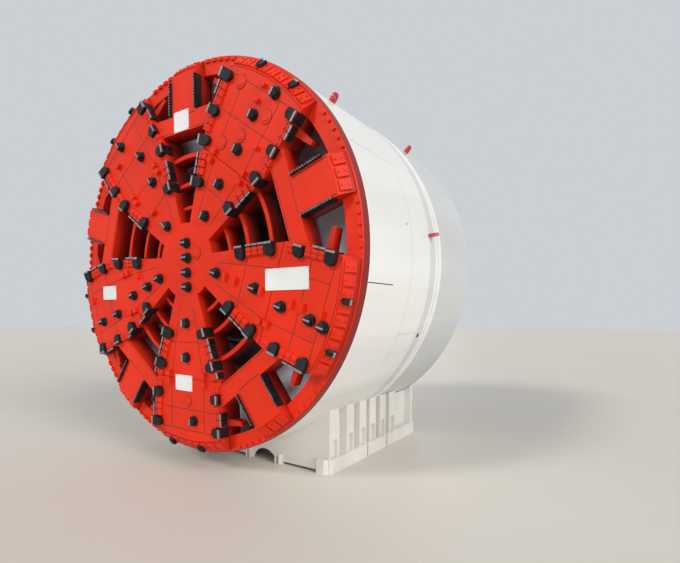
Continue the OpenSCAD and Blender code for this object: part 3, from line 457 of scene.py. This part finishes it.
def repeated(name, form, seats, finish, body, smooth=False):
    """One form at many seats: point = origin + x ex + y ey + z ez, all seats at once.

    A seat is (origin, ex, ey, ez), each a point or a direction in the machine's frame. Where a
    seat's directions are left-handed its faces are turned round, so that they point outwards.
    """
    corners, faces = form
    seats = np.array(seats, float)
    points = seats[:, None, 0] + np.einsum("vc,kcd->kvd", corners, seats[:, 1:])
    left = np.linalg.det(seats[:, 1:]) < 0
    polygons = [[len(corners) * k + c for c in (face[::-1] if left[k] else face)]
                for k in range(len(seats)) for face in faces]
    return surface(name, points, polygons, finish, body, smooth)


def bead_points(line, outward, width, height):
    """A weld bead on a line of points: an arch whose height ripples, closed by a flat foot.

    point = line + side w cos t / 2 + out h (1 + 0.25 sin 9s) sin t, for t from 0 to pi.
    """
    line, outward = np.asarray(line, float), np.asarray(outward, float)
    run = np.gradient(line, axis=0)
    run /= np.linalg.norm(run, axis=1, keepdims=True)
    side = np.cross(run, outward)
    side /= np.linalg.norm(side, axis=1, keepdims=True)
    t = np.linspace(0, math.pi, 5)
    ripple = height * (1 + 0.25 * np.sin(9 * np.arange(len(line))))
    return (line[:, None] + side[:, None] * (width / 2 * np.cos(t))[None, :, None]
            + outward[:, None] * (ripple[:, None] * np.sin(t)[None])[..., None])


def beads(name, lines, width, height, finish, body):
    """Several weld beads in one mesh; each line is (points, outward directions)."""
    points, faces, lift = [], [], 0
    for line, outward in lines:
        strip = bead_points(line, outward, width, height)
        points.append(strip.reshape(-1, 3))
        faces += (grid_faces(len(strip), 5, closed_columns=True) + lift).tolist()
        faces.append([lift + c for c in (4, 3, 2, 1, 0)])
        faces.append([lift + 5 * (len(strip) - 1) + c for c in range(5)])
        lift += len(strip) * 5
    return surface(name, np.concatenate(points), faces, finish, body, True)


# ---- Places on the machine ------------------------------------------------------------------


def axes_at(angle):
    """Directions along a spoke, along the machine and across the spoke, for an angle in degrees."""
    c, s = math.cos(math.radians(angle)), math.sin(math.radians(angle))
    return np.array([[c, 0, s], [0, 1, 0], [-s, 0, c]])


def at(angle, along, station, across=0.0):
    """A point in the machine's frame: along and across a spoke's line, at a station."""
    local = np.stack(np.broadcast_arrays(along, np.subtract(station, MID_ST), across), -1)
    return local @ axes_at(angle) + np.array([0, 0, AXIS_Z])


def seam_r(i):
    """Distance from the axis to the seam across a spoke."""
    return WHEEL_R - SEAM_SHARE[i] * (WHEEL_R - HUB_R)


def spoke_half(r):
    """Half width of a spoke: straight taper from the root to the kink, then nearly parallel."""
    inner = SPOKE_ROOT + (SPOKE_SEAM - SPOKE_ROOT) * (r - ROOT_R) / (TAPER_R - ROOT_R)
    outer = SPOKE_SEAM + (SPOKE_TIP - SPOKE_SEAM) * (r - TAPER_R) / TAPER_BACK
    return np.where(np.asarray(r) < TAPER_R, inner, outer)


def edge_angle(r):
    """Angle of a spoke's edge to its line, in radians."""
    if r < TAPER_R:
        return math.atan2(SPOKE_SEAM - SPOKE_ROOT, TAPER_R - ROOT_R)
    return math.atan2(SPOKE_TIP - SPOKE_SEAM, TAPER_BACK)


def reach(i, u):
    """Distance from the axis: u 0 at the hub, 1 at the seam, 2 at the rim."""
    if u < 1:
        return HUB_R + u * (seam_r(i) - HUB_R)
    return seam_r(i) + (u - 1) * (WHEEL_R - seam_r(i))


def edge_seat(i, r, side, x, station, out):
    """A seat on a spoke's edge whose y points ahead: x runs along the edge, z out of it."""
    along, ahead, across = axes_at(SPOKES[i])
    turn = edge_angle(r)
    ex = along * math.cos(turn) + side * across * math.sin(turn)
    ez = -along * math.sin(turn) + side * across * math.cos(turn)
    origin = at(SPOKES[i], r, station, side * float(spoke_half(r))) + ex * x + ez * out
    return origin, ex, -ahead, ez


def face_seat(angle, r, across, station=FACE):
    """A seat on the wheel's face whose y points ahead."""
    along, ahead, side = axes_at(angle)
    return at(angle, r, station, across), along, -ahead, side


def back_seat(angle, r, station):
    """A seat on a ring's rear face whose y points to the tail."""
    along, back, side = axes_at(angle)
    return at(angle, r, station), along, back, -side


def circle_seats(seat, radius, count, start=0.0):
    """Seats on a circle round a seat's y: origin + R (ex cos t + ez sin t)."""
    centre, ex, ey, ez = seat
    return [(centre + radius * (ex * math.cos(t) + ez * math.sin(t)), ex, ey, ez)
            for t in start + np.arange(count) * 2 * math.pi / count]


def edge_reach(i, j):
    """Distance from the axis of a spoke's edge ripper, counted from the rim, clear of the seam."""
    r = WHEEL_R - EDGE_FIRST - j * EDGE_PITCH
    return seam_r(i) + RIPPER_TO_SEAM if abs(r - seam_r(i)) < RIPPER_TO_SEAM else r


def beside_head(r, half):
    """Whether a tool on a spoke's edge lies beside a tee arm's head."""
    c, h = math.cos(math.radians(36)), float(spoke_half(r)) * math.sin(math.radians(36))
    return ((r + half) * c + h > TEE_IN - TOOL_GAP
            and (r - half) * c + h < TEE_IN + TEE_HEAD + TOOL_GAP)


def scraper_places():
    """Spoke, distance from the axis and side of every scraper that has room."""
    places = []
    for i in range(len(SPOKES)):
        for j in range(EDGE_COUNT - 1):
            for k in (-1, 0, 1):
                r = WHEEL_R - EDGE_FIRST - (j + 0.5) * EDGE_PITCH + k * SCRAPER_PITCH
                to_ripper = min(abs(r - edge_reach(i, n)) for n in range(EDGE_COUNT + 1))
                clear = to_ripper > SCRAPER_LEN / 2 + EDGE_R + TOOL_GAP
                if clear and abs(r - seam_r(i)) > SCRAPER_TO_SEAM:
                    places += [(i, r, -1), (i, r, 1)]
    return places


# Tools on the spokes: spoke, place from hub 0 over seam 1 to rim 2, and share of the half width
RIPPERS = ((0, .31, 0), (0, .74, 0), (0, 1.56, .2), (1, .11, 0), (1, .76, 0), (1, 1.18, -.14),
           (1, 1.59, -.16), (1, 1.77, -.19), (2, .2, 0), (2, .72, 0), (2, 1.19, -.07),
           (2, 1.53, -.07), (2, 1.79, -.33), (3, .12, 0), (3, .9, -.26), (3, 1.32, -.25),
           (3, 1.7, .13), (4, .1, .15), (4, .45, .16), (4, .9, .13), (4, 1.3, .32),
           (4, 1.63, .3))
# Tools on the hub: right and up, in shares of its radius
HUB_RIPPERS = ((.06, .46), (.09, .07), (.08, -.32), (.09, -.7))
BOSSES = ((2, 1.72, .55), (2, 1.58, -.36), (2, 1.15, .42), (2, 1.31, .02), (0, 1.31, 0))
HUB_BOSSES = ((.43, .18),)
# Sign plates: angle, place along and across it in shares of the wheel's radius, width and height
SIGNS = ((-18, .66, .09, 1.86, 1.12), (198, .7, -.07, 1.03, .94), (-90, .634, -.024, 1, .96),
         (90, .703, .016, .86, 1.16))
# The hex bolt of radius 1, from its foot to its top
BOLT = lathe_form([(1.5, -.1), (1.5, .22), (1.15, .24), (1.15, .9), (.95, 1.05)], 6)


def bolt(radius):
    """A hex bolt with its washer, of the given radius."""
    return BOLT[0] * radius, BOLT[1]


# ---- Pieces of the wheel --------------------------------------------------------------------


def seats_of(on_spokes, on_hub, lift):
    """Seats of a table's pieces on the spokes' faces and on the hub, a lift ahead of the face."""
    seats = [face_seat(SPOKES[i], reach(i, u), v * float(spoke_half(reach(i, u))), FACE - lift)
             for i, u, v in on_spokes]
    return seats + [face_seat(0, x * HUB_R, z * HUB_R, FACE - lift) for x, z in on_hub]


def make_tool_tips():
    """Hard metal bars let into the tools' cutting edges, a few millimetres proud of them."""
    repeated("ripper_blade_tips", box_form((0.21, 0.032, 0.052), 0.008),
             seats_of(RIPPERS, HUB_RIPPERS, RIPPER_H - 0.02), HARD_METAL, "wheel")
    edges = []
    for i in range(len(SPOKES)):
        for j in range(EDGE_COUNT):
            r = edge_reach(i, j)
            out = -0.036 if beside_head(r, EDGE_R) else 0.014
            edges += [edge_seat(i, r, side, 0, FACE - 0.138, out) for side in (-1, 1)]
    repeated("edge_ripper_tips", box_form((0.27, 0.068, 0.06), 0.01), edges, HARD_METAL,
             "wheel")
    scrapers = [edge_seat(i, r, s, 0, FACE - 0.065, 0.036) for i, r, s in scraper_places()
                if not beside_head(r, SCRAPER_LEN / 2)]
    repeated("scraper_tips", box_form((0.186, 0.051, 0.055), 0.006), scrapers, HARD_METAL,
             "wheel")
    wear_in = TEE_IN + TEE_HEAD + WEAR_GAP
    pitch = (WHEEL_R - RIM_W - 0.06 - wear_in) / WEAR_TEETH
    teeth = [face_seat(angle, wear_in + (k + 0.5) * pitch, side * (STEM_HALF + 0.0228),
                       FACE - 0.088)
             for angle in TEES for side in (-1, 1) for k in range(WEAR_TEETH)]
    repeated("wear_plate_tips", box_form((0.052, 0.018, 0.05), 0.004), teeth, BOLT_STEEL,
             "wheel")


def gauge_seat(angle, drop, lift):
    """A seat on the wheel's slanted edge: x runs down the slant, y out of it."""
    along, back, _ = axes_at(angle)
    c, s = math.cos(GAUGE_ANGLE), math.sin(GAUGE_ANGLE)
    down, out = along * c + back * s, along * s - back * c
    return at(angle, FACE_R, FACE) + down * drop + out * lift, down, out, np.cross(down, out)


def make_gauge_cutters():
    """Cutters on the wheel's slanted edge, two to a spoke, each with a hard metal bar."""
    angles = [a + turn for a in SPOKES for turn in (4.95, -8.25)]
    repeated("gauge_cutter_bodies", box_form((0.25, 0.17, 0.15), 0.035),
             [gauge_seat(a, 0.23, 0.0) for a in angles], FINISHES["tool"], "wheel")
    repeated("gauge_cutter_tips", box_form((0.055, 0.03, 0.13), 0.006),
             [gauge_seat(a, 0.29, 0.155) for a in angles], HARD_METAL, "wheel")


def make_wheel_bolts():
    """Hex bolts on the tool pads, sockets, bosses, gauge blocks and sign plates."""
    seats = []
    for i, r, side in scraper_places():
        seats += [edge_seat(i, r, side, x, FACE - 0.095, -0.125) for x in (-0.05, 0.05)]
    for angle in SPOKES + TEES:
        for k in (range(-4, 5) if angle in SPOKES else (-1, 0, 1)):
            seats += [gauge_seat(angle + BLOCK_TURN * k, drop, BLOCK_TOP)
                      for drop in (0.12, 0.29)]
    repeated("wheel_block_bolts", bolt(0.022), seats, BOLT_RED, "wheel")
    small = []
    for radius, count, seats in ((0.134, 6, seats_of(RIPPERS, HUB_RIPPERS, SOCKET_H)),
                                 (0.155, 8, seats_of(BOSSES, HUB_BOSSES, BOSS_TOP))):
        for seat in seats:
            small += circle_seats(seat, radius, count)
    for angle, share, across, wide, high in SIGNS:
        c, s = math.cos(math.radians(angle)), math.sin(math.radians(angle))
        x, z = WHEEL_R * (share * c - across * s), WHEEL_R * (share * s + across * c)
        for dx in (-1, 1):
            for dz in (-1, 1):
                small.append(face_seat(0, x + dx * (wide * 0.37 - 0.03),
                                       z + dz * (high * 0.25 - 0.03), FACE - 0.025))
    repeated("wheel_cap_screws", bolt(0.0095), small, BOLT_STEEL, "wheel")


def straight(angle, start, end):
    """A straight line on the wheel's face from (along, across) to (along, across)."""
    n = max(3, int(math.dist(start, end) / 0.06))
    along, across = (np.linspace(start[k], end[k], n) for k in (0, 1))
    return at(angle, along, FACE, across), np.tile([0.0, -1.0, 0.0], (n, 1))


def arc(angle_a, angle_b, r, station, outward):
    """An arc round the axis between two angles in degrees; outward is 'ahead' or 'away'."""
    n = max(4, int(math.radians(abs(angle_b - angle_a)) * r / 0.08))
    t = np.radians(np.linspace(angle_a, angle_b, n))
    away = np.stack([np.cos(t), np.zeros(n), np.sin(t)], -1)
    points = away * r + np.array([0, station - MID_ST, AXIS_Z])
    return points, away if outward == "away" else np.tile([0.0, -1.0, 0.0], (n, 1))


def make_wheel_beads():
    """Weld beads of the wheel: plate joints on spokes and tee arms, rings at sockets and bosses."""
    lines = []
    t = np.linspace(0, 2 * math.pi, 28)[:, None]
    for radius, seats in ((RIPPER_R + 0.008, seats_of(RIPPERS, HUB_RIPPERS, 0)),
                          (BOSS_R + 0.008, seats_of(BOSSES, HUB_BOSSES, 0))):
        for centre, ex, ey, ez in seats:
            lines.append((centre + radius * (ex * np.cos(t) + ez * np.sin(t)),
                          np.tile(ey, (len(t), 1))))
    for i, angle in enumerate(SPOKES):
        out = FACE_R - 0.32
        for v in (-0.5, 0.5):
            for a, b in ((reach(i, 1.06), out), (reach(i, 0.12), reach(i, 0.94))):
                lines.append(straight(angle, (a, v * spoke_half(a)), (b, v * spoke_half(b))))
        for r, v in ((reach(i, 1.42), 0.8), (out, 0.8), (reach(i, 0.55), 0.74)):
            lines.append(straight(angle, (r, -v * spoke_half(r)), (r, v * spoke_half(r))))
        half = math.degrees(math.asin(1.45 / FACE_R))
        lines.append(arc(angle - half, angle + half, FACE_R - 0.012, FACE, "ahead"))
    for angle in TEES:
        for side in (-1, 1):
            lines.append(straight(angle, (TEE_IN + 0.56, side * (STEM_HALF - 0.05)),
                                  (FACE_R - 0.06, side * (STEM_HALF - 0.05))))
        lines.append(straight(angle, (TEE_IN + 0.05, -1.12), (TEE_IN + 0.05, 1.12)))
        lines.append(straight(angle, (TEE_IN + 0.47, -0.46), (TEE_IN + 0.47, 0.46)))
    beads("wheel_weld_beads", lines, 0.022, 0.006, BEAD_RED, "wheel")


# ---- Pieces of the shield -------------------------------------------------------------------


def make_shield_beads():
    """Weld beads round the shield's joints and along the joints of its curved plates."""
    lines = [arc(0, 360, SHIELD_R, CENTRE_ST, "away"),
             arc(0, 360, SHIELD_R, BAND_ST - 0.012, "away"),
             arc(0, 360, TAIL_R, TAIL_ST + 0.012, "away")]
    # Stations and radius of the joints along each ring, and their angles on the right side
    rings = ((0.46, 2.88, SHIELD_R, (28, -42)), (2.92, 4.92, SHIELD_R, (48, -22)),
             (5.18, 8.16, TAIL_R, (35, -32)))
    for start, end, r, angle in [(*ring[:3], turned) for ring in rings for right in ring[3]
                                 for turned in (right, 180 - right)]:
        stations = np.linspace(start, end, int((end - start) / 0.08))
        line = at(angle, r, stations)
        lines.append((line, np.tile(axes_at(angle)[0], (len(line), 1))))
    beads("shield_weld_beads", lines, 0.02, 0.004, BEAD_WHITE, "shield")


def out_seat(angle, r, station):
    """A seat on a round surface whose y points away from the axis."""
    along, back, side = axes_at(angle)
    return at(angle, r, station), -side, along, back


def make_shield_ports():
    """Plugs of the injection ports, and a near-black strip over the slot beside the rim, painted
    shade for the slot.
    """
    form = lathe_form([(0.07, -0.01), (0.07, 0.006), (0.052, 0.012), (0.03, 0.013)], 20)
    repeated("shield_port_plugs", form, [out_seat(a, SHIELD_R, 4.5) for a in (-23, 203)],
             RUBBER, "shield", True)
    small = lathe_form([(0.03, -0.01), (0.03, 0.004), (0.02, 0.006)], 16)
    repeated("shield_small_plugs", small, [out_seat(a, SHIELD_R, 2.6) for a in (9, 171)],
             RUBBER, "shield", True)
    # Painted shade: a near-black strip where the slot lies in shade
    slots = [out_seat(a, SHIELD_R - 0.004, 1.06) for a in (-8, 188)]
    repeated("shield_slot_shade_strips", box_form((0.024, 0.009, 1.38), 0.003), slots, RUBBER,
             "shield")


def make_brush_wires():
    """Wire skirts behind the tail brushes: cones that are pleated round the ring.

    A skirt runs straight from the tail plate at s = 0 to the lining at s = 1, and its rear face
    and its front face, 14 mm ahead, meet at both ends. The pleat is 4 mm times s sin(540 a).
    """
    pleats, around = 540, 2160
    turn = np.arange(around) * 2 * math.pi / around
    s = np.array([0, 0.5, 1, 1, 0.5, 0])[None]
    front = np.array([0, 0, 0, 1, 1, 1])[None]
    pleat = 0.004 * np.sin(pleats * turn)[:, None] * s
    points, faces = [], []
    for k in range(BRUSH_ROWS):
        r = TAIL_IN - 0.004 + s * (LINING_OUT + 0.008 - TAIL_IN) + pleat
        y = TAIL_END - 0.12 - BRUSH_PITCH * k + 0.044 + s * 0.06 - 0.014 * front - MID_ST
        ring = np.stack([np.cos(turn)[:, None] * r, np.broadcast_to(y, r.shape),
                         np.sin(turn)[:, None] * r + AXIS_Z], -1)
        points.append(ring.reshape(-1, 3))
        faces.append(grid_faces(around, s.size, True, True)[:, ::-1] + around * s.size * k)
    surface("tail_brush_wires", np.concatenate(points), np.concatenate(faces).tolist(),
            FINISHES["steel"], "shield")


def make_inner_bolts():
    """Bolt circles: drive housing, motor flanges, pipe flanges and erector ring."""
    turns = np.arange(0, 360, 6)
    big = [back_seat(a, DRIVE_R - 0.045, DRIVE_END) for a in turns
           if abs((a - 15) % 30 - 15) > 4]
    repeated("drive_ring_bolts", bolt(0.026), big, BOLT_STEEL, "shield")
    small = []
    for angle in MOTOR_TURNS:
        small += circle_seats(back_seat(angle, MOTOR_C, DRIVE_END + 0.06), 0.36, 10)
    for angle in (-90 - PIPE_ANGLE, -90 + PIPE_ANGLE):
        small += circle_seats(back_seat(angle, PIPE_C, PIPE_END), 0.262, 12)
    repeated("flange_bolts", bolt(0.014), small, BOLT_STEEL, "shield")
    rotor = [back_seat(a, ROTOR_BOLT_R, ROTOR_BACK) for a in turns
             if abs(math.cos(math.radians(a))) < 0.82]
    repeated("erector_ring_bolts", bolt(0.022), rotor, BOLT_STEEL, "rotor")


def make_port_covers():
    """Bolted covers in the five ports of the drive's turning plate: discs with a raised middle."""
    cover = lathe_form([(PORT_R, 0.0), (PORT_R, COVER_T), (0.18, COVER_T), (0.15, 0.07)], 64)
    repeated("rotor_port_covers", cover, [back_seat(a, PORT_C, PORT_ST) for a in TEES],
             FINISHES["dark"], "wheel")
    screws = []
    for angle in TEES:
        screws += circle_seats(back_seat(angle, PORT_C, PORT_ST + COVER_T), 0.26, 12,
                               math.pi / 12)
    repeated("rotor_port_bolts", bolt(0.016), screws, BOLT_STEEL, "wheel")


def make_motor_fins():
    """Cooling fins, a turned profile that steps in and out along each motor, and its box."""
    rings, out = 29, 0.262
    radius = np.where(np.arange(rings) % 4 < 2, MOTOR_R + 0.0005, out)
    fins = lathe_form(np.stack([radius, np.linspace(0, 0.56, rings)], -1), 32)
    repeated("motor_cooling_fins", fins, [back_seat(a, MOTOR_C, MOTOR_ST) for a in MOTOR_TURNS],
             FINISHES["drive"], "shield")
    boxes = []
    for angle in MOTOR_TURNS:
        along, back, side = axes_at(angle)
        boxes.append((at(angle, MOTOR_C + out, MOTOR_ST + 0.26), back, along, side))
    repeated("motor_terminal_boxes", box_form((0.3, 0.13, 0.22), 0.02), boxes,
             FINISHES["grey"], "shield")


def tube_form(path, radius, sides=10):
    """A pipe along a path: point = path + r (n cos t + b sin t), capped by its own ends.

    n is the direction nearest to local x that is square to the path, and b = run x n.
    """
    path = np.array(path, float)
    run = np.gradient(path, axis=0)
    run /= np.linalg.norm(run, axis=1, keepdims=True)
    n = np.array([1.0, 0, 0]) - run * run[:, :1]
    n /= np.linalg.norm(n, axis=1, keepdims=True)
    b = np.cross(run, n)
    t = np.arange(sides) * 2 * math.pi / sides
    points = (path[:, None] + radius * (n[:, None] * np.cos(t)[None, :, None]
                                        + b[:, None] * np.sin(t)[None, :, None]))
    faces = grid_faces(len(path), sides, closed_columns=True)[:, ::-1].tolist()
    faces.append(list(range(sides))[::-1])
    faces.append([(len(path) - 1) * sides + k for k in range(sides)])
    return points.reshape(-1, 3), faces


def make_cylinder_pipes():
    """A steel pipe along each thrust cylinder: out of the barrel, along it and back in."""
    run, bend = 1.62, 0.06
    t = np.linspace(0, math.pi / 2, 6)
    foot = np.stack([np.zeros(6), bend * (1 - np.cos(t)), -bend * np.sin(t)], -1)
    path = np.concatenate([[[0, 0, 0.03]], foot, foot[::-1] * [1, -1, 1] + [0, run, 0],
                           [[0, run, 0.03]]])
    seats = []
    for k in range(PAIRS):
        for s in (-1, 1):
            angle = (k + 0.5) * 360 / PAIRS - 90 + s * PAIR_HALF
            along, back, side = axes_at(angle)
            seats.append((at(angle, CYL_R - BARREL_R, BULK_END + 0.14), side, back, along))
    repeated("cylinder_pipes", tube_form(path, 0.018), seats, FINISHES["rod"], "shield",
             True)


def ring_form(radius, thick, sides=32, around=8):
    """A ring about local y: point = ((R + r cos v) cos u, r sin v, (R + r cos v) sin u)."""
    u = np.arange(sides)[:, None] * 2 * math.pi / sides
    v = np.arange(around)[None] * 2 * math.pi / around
    wide = radius + thick * np.cos(v)
    points = np.stack([wide * np.cos(u), thick * np.sin(v) + 0 * u, wide * np.sin(u)], -1)
    return points.reshape(-1, 3), grid_faces(sides, around, True, True)[:, ::-1].tolist()


def make_lock_fittings():
    """Hatch wheel with rim, arms and hub on the man lock's door, and windows in the locks' ends."""
    x, z = LOCK_C * math.cos(LOCK_ANGLE), LOCK_C * math.sin(LOCK_ANGLE)
    centre = at(0, x, DOOR_END, z)
    frame_axes = np.array([[1.0, 0, 0], [0, 1, 0], [0, 0, -1]])
    repeated("hatch_wheel_rim", ring_form(0.15, 0.014), [(centre + [0, 0.09, 0], *frame_axes)],
             FINISHES["lug"], "lock_door", True)
    arms = []
    for t in np.radians([0, 60, 120]):
        ex = np.array([math.cos(t), 0, math.sin(t)])
        arms.append((centre + [0, 0.08, 0], ex, [0, 1, 0], np.cross(ex, [0, 1, 0])))
    repeated("hatch_wheel_arms", box_form((0.3, 0.02, 0.022), 0.005), arms, FINISHES["lug"],
             "lock_door")
    hub = lathe_form([(0.05, -0.01), (0.05, 0.07), (0.035, 0.1)], 20)
    repeated("hatch_wheel_hub", hub, [(centre, *frame_axes)], BOLT_STEEL, "lock_door")
    rim = lathe_form([(0.09, 0), (0.09, 0.02), (0.07, 0.026), (0.066, 0.012)], 28)
    panes = [(at(0, side * x, LOCK_END, z + 0.5), *frame_axes) for side in (-1, 1)]
    repeated("lock_window_rims", rim, panes, BOLT_STEEL, "shield", True)
    pane = lathe_form([(0.066, 0.0), (0.066, 0.014), (0.03, 0.017)], 28)
    repeated("lock_window_panes", pane, panes, GLASS, "shield", True)


def make_cradle_beads():
    """Weld beads of the cradle: where walls meet the foot and along each column's corners."""
    lines, lean45, steps = [], 0.7071, 22
    top = AXIS_Z - math.sqrt(SHIELD_R ** 2 - CRADLE_WALL ** 2) - 0.03
    for start, length, columns in SECTIONS:
        edges = [start + 0.02]
        for first, wide in columns:
            edges += [start + first, start + first + wide]
        edges.append(start + length - 0.02)
        for side in (-1, 1):
            for a, b in zip(edges[::2], edges[1::2]):
                if b - a > 0.1:
                    st = np.linspace(a, b, max(3, int((b - a) / 0.06)))
                    line = np.stack([np.full(len(st), side * (CRADLE_WALL + 0.004)), st - MID_ST,
                                     np.full(len(st), FOOT_H + 0.004)], -1)
                    slope = np.array([side * lean45, 0, lean45])
                    lines.append((line, np.tile(slope, (len(st), 1))))
            for first, wide in columns:
                for st, lean in ((start + first, -1), (start + first + wide, 1)):
                    if start + 0.05 < st < start + length - 0.05:
                        height = np.linspace(FOOT_H + 0.01, top, steps)
                        line = np.stack([np.full(steps, side * (CRADLE_WALL + 0.003)),
                                         np.full(steps, st + lean * 0.003 - MID_ST), height], -1)
                        slope = np.array([side * lean45, lean * lean45, 0])
                        lines.append((line, np.tile(slope, (steps, 1))))
    beads("cradle_weld_beads", lines, 0.018, 0.006, BEAD_WHITE, "shield")


def make_cradle_joints():
    """Bolts and dark sealing strips at the two joints of the cradle's sections."""
    seats, strips = [], []
    for joint in (SECTIONS[1][0], SECTIONS[2][0]):
        for side in (-1, 1):
            out = np.array([side * 1.0, 0, 0])
            seal = np.array([[0, 1.0, 0], out, [0, 0, 1.0]])
            middle = np.array([side * (FOOT_OUT - 0.003), joint - MID_ST, FOOT_H / 2 + 0.001])
            strips.append((middle, *seal))
            for st in (joint - 0.09, joint + 0.09):
                for height in (0.1, 0.225, 0.35):
                    origin = np.array([side * FOOT_OUT, st - MID_ST, height])
                    seats.append((origin, [0, 1, 0], out, np.cross([0, 1, 0], out)))
    repeated("cradle_joint_bolts", bolt(0.02), seats, CRADLE, "shield")
    repeated("cradle_joint_seals", box_form((0.03, 0.008, 0.446), 0.003), strips, RUBBER,
             "shield")


# ---- Camera, light and floor ----------------------------------------------------------------


def make_camera():
    """The camera stands at the photograph's place, turned left by the yaw and down by the pitch."""
    camera = bpy.data.objects.new("camera", bpy.data.cameras.new("camera"))
    bpy.context.scene.collection.objects.link(camera)
    camera.location = CAMERA_PLACE
    camera.rotation_euler = (math.pi / 2 + CAMERA_PITCH, CAMERA_ROLL, CAMERA_YAW)
    camera.data.sensor_width = 36
    camera.data.lens = CAMERA_LENS
    camera.data.shift_x, camera.data.shift_y = CAMERA_SHIFT
    camera.data.clip_end = 500
    bpy.context.scene.camera = camera


def make_sun(name, towards, strength, softness, colour):
    """A distant soft lamp that shines in the given direction."""
    lamp = bpy.data.objects.new(name, bpy.data.lights.new(name, "SUN"))
    lamp.data.energy = strength
    lamp.data.angle = math.radians(softness)
    lamp.data.color = colour
    x, y, z = towards
    lamp.rotation_euler = (math.atan2(math.hypot(x, y), -z), 0, math.atan2(-x, y))
    bpy.context.scene.collection.objects.link(lamp)


def make_world():
    """An even pale sky; what the camera, gloss and glass see directly is a plain pale backdrop."""
    world = bpy.data.worlds.new("studio")
    bpy.context.scene.world = world
    world.use_nodes = True
    nodes, links = world.node_tree.nodes, world.node_tree.links
    sky = nodes["Background"]
    sky.inputs[0].default_value = SKY
    sky.inputs[1].default_value = SKY_STRENGTH
    backdrop = nodes.new("ShaderNodeBackground")
    backdrop.inputs[0].default_value = BACKDROP
    backdrop.inputs[1].default_value = 1.0
    path = nodes.new("ShaderNodeLightPath")
    mix = nodes.new("ShaderNodeMixShader")
    seen = path.outputs["Is Camera Ray"]
    for kind in ("Is Glossy Ray", "Is Transmission Ray"):
        either = nodes.new("ShaderNodeMath")
        either.operation = "MAXIMUM"
        links.new(seen, either.inputs[0])
        links.new(path.outputs[kind], either.inputs[1])
        seen = either.outputs[0]
    links.new(seen, mix.inputs[0])
    links.new(sky.outputs[0], mix.inputs[1])
    links.new(backdrop.outputs[0], mix.inputs[2])
    links.new(mix.outputs[0], nodes["World Output"].inputs["Surface"])


def make_floor():
    """A wide pale disc: point = (r cos t, r sin t, 0)."""
    t = np.arange(FLOOR_SIDES) * 2 * math.pi / FLOOR_SIDES
    ring = np.stack([FLOOR_R * np.cos(t), FLOOR_R * np.sin(t), 0 * t], -1)
    mesh = bpy.data.meshes.new("floor")
    mesh.from_pydata(ring.tolist(), [], [list(range(FLOOR_SIDES))])
    finish = Finish("floor_paint", (0.64, 0.60, 0.54), 0.6)
    cloud = finish.band(finish.noise((0.15, 0.15, 0.15), 2), 0.3, 0.7)
    finish.feed("Base Color", finish.mix(cloud, (0.63, 0.59, 0.53), (0.65, 0.61, 0.55)))
    mesh.materials.append(finish.material)
    floor = bpy.data.objects.new("floor", mesh)
    bpy.context.scene.collection.objects.link(floor)


make_camera()
dress_nodes()
make_tool_tips()
make_gauge_cutters()
make_wheel_bolts()
make_wheel_beads()
make_shield_beads()
make_shield_ports()
make_brush_wires()
make_inner_bolts()
make_port_covers()
make_motor_fins()
make_cylinder_pipes()
make_lock_fittings()
make_cradle_beads()
make_cradle_joints()
make_world()
for lamp in LAMPS:
    make_sun(*lamp)
make_floor()
bpy.context.scene.view_settings.view_transform = "Standard"
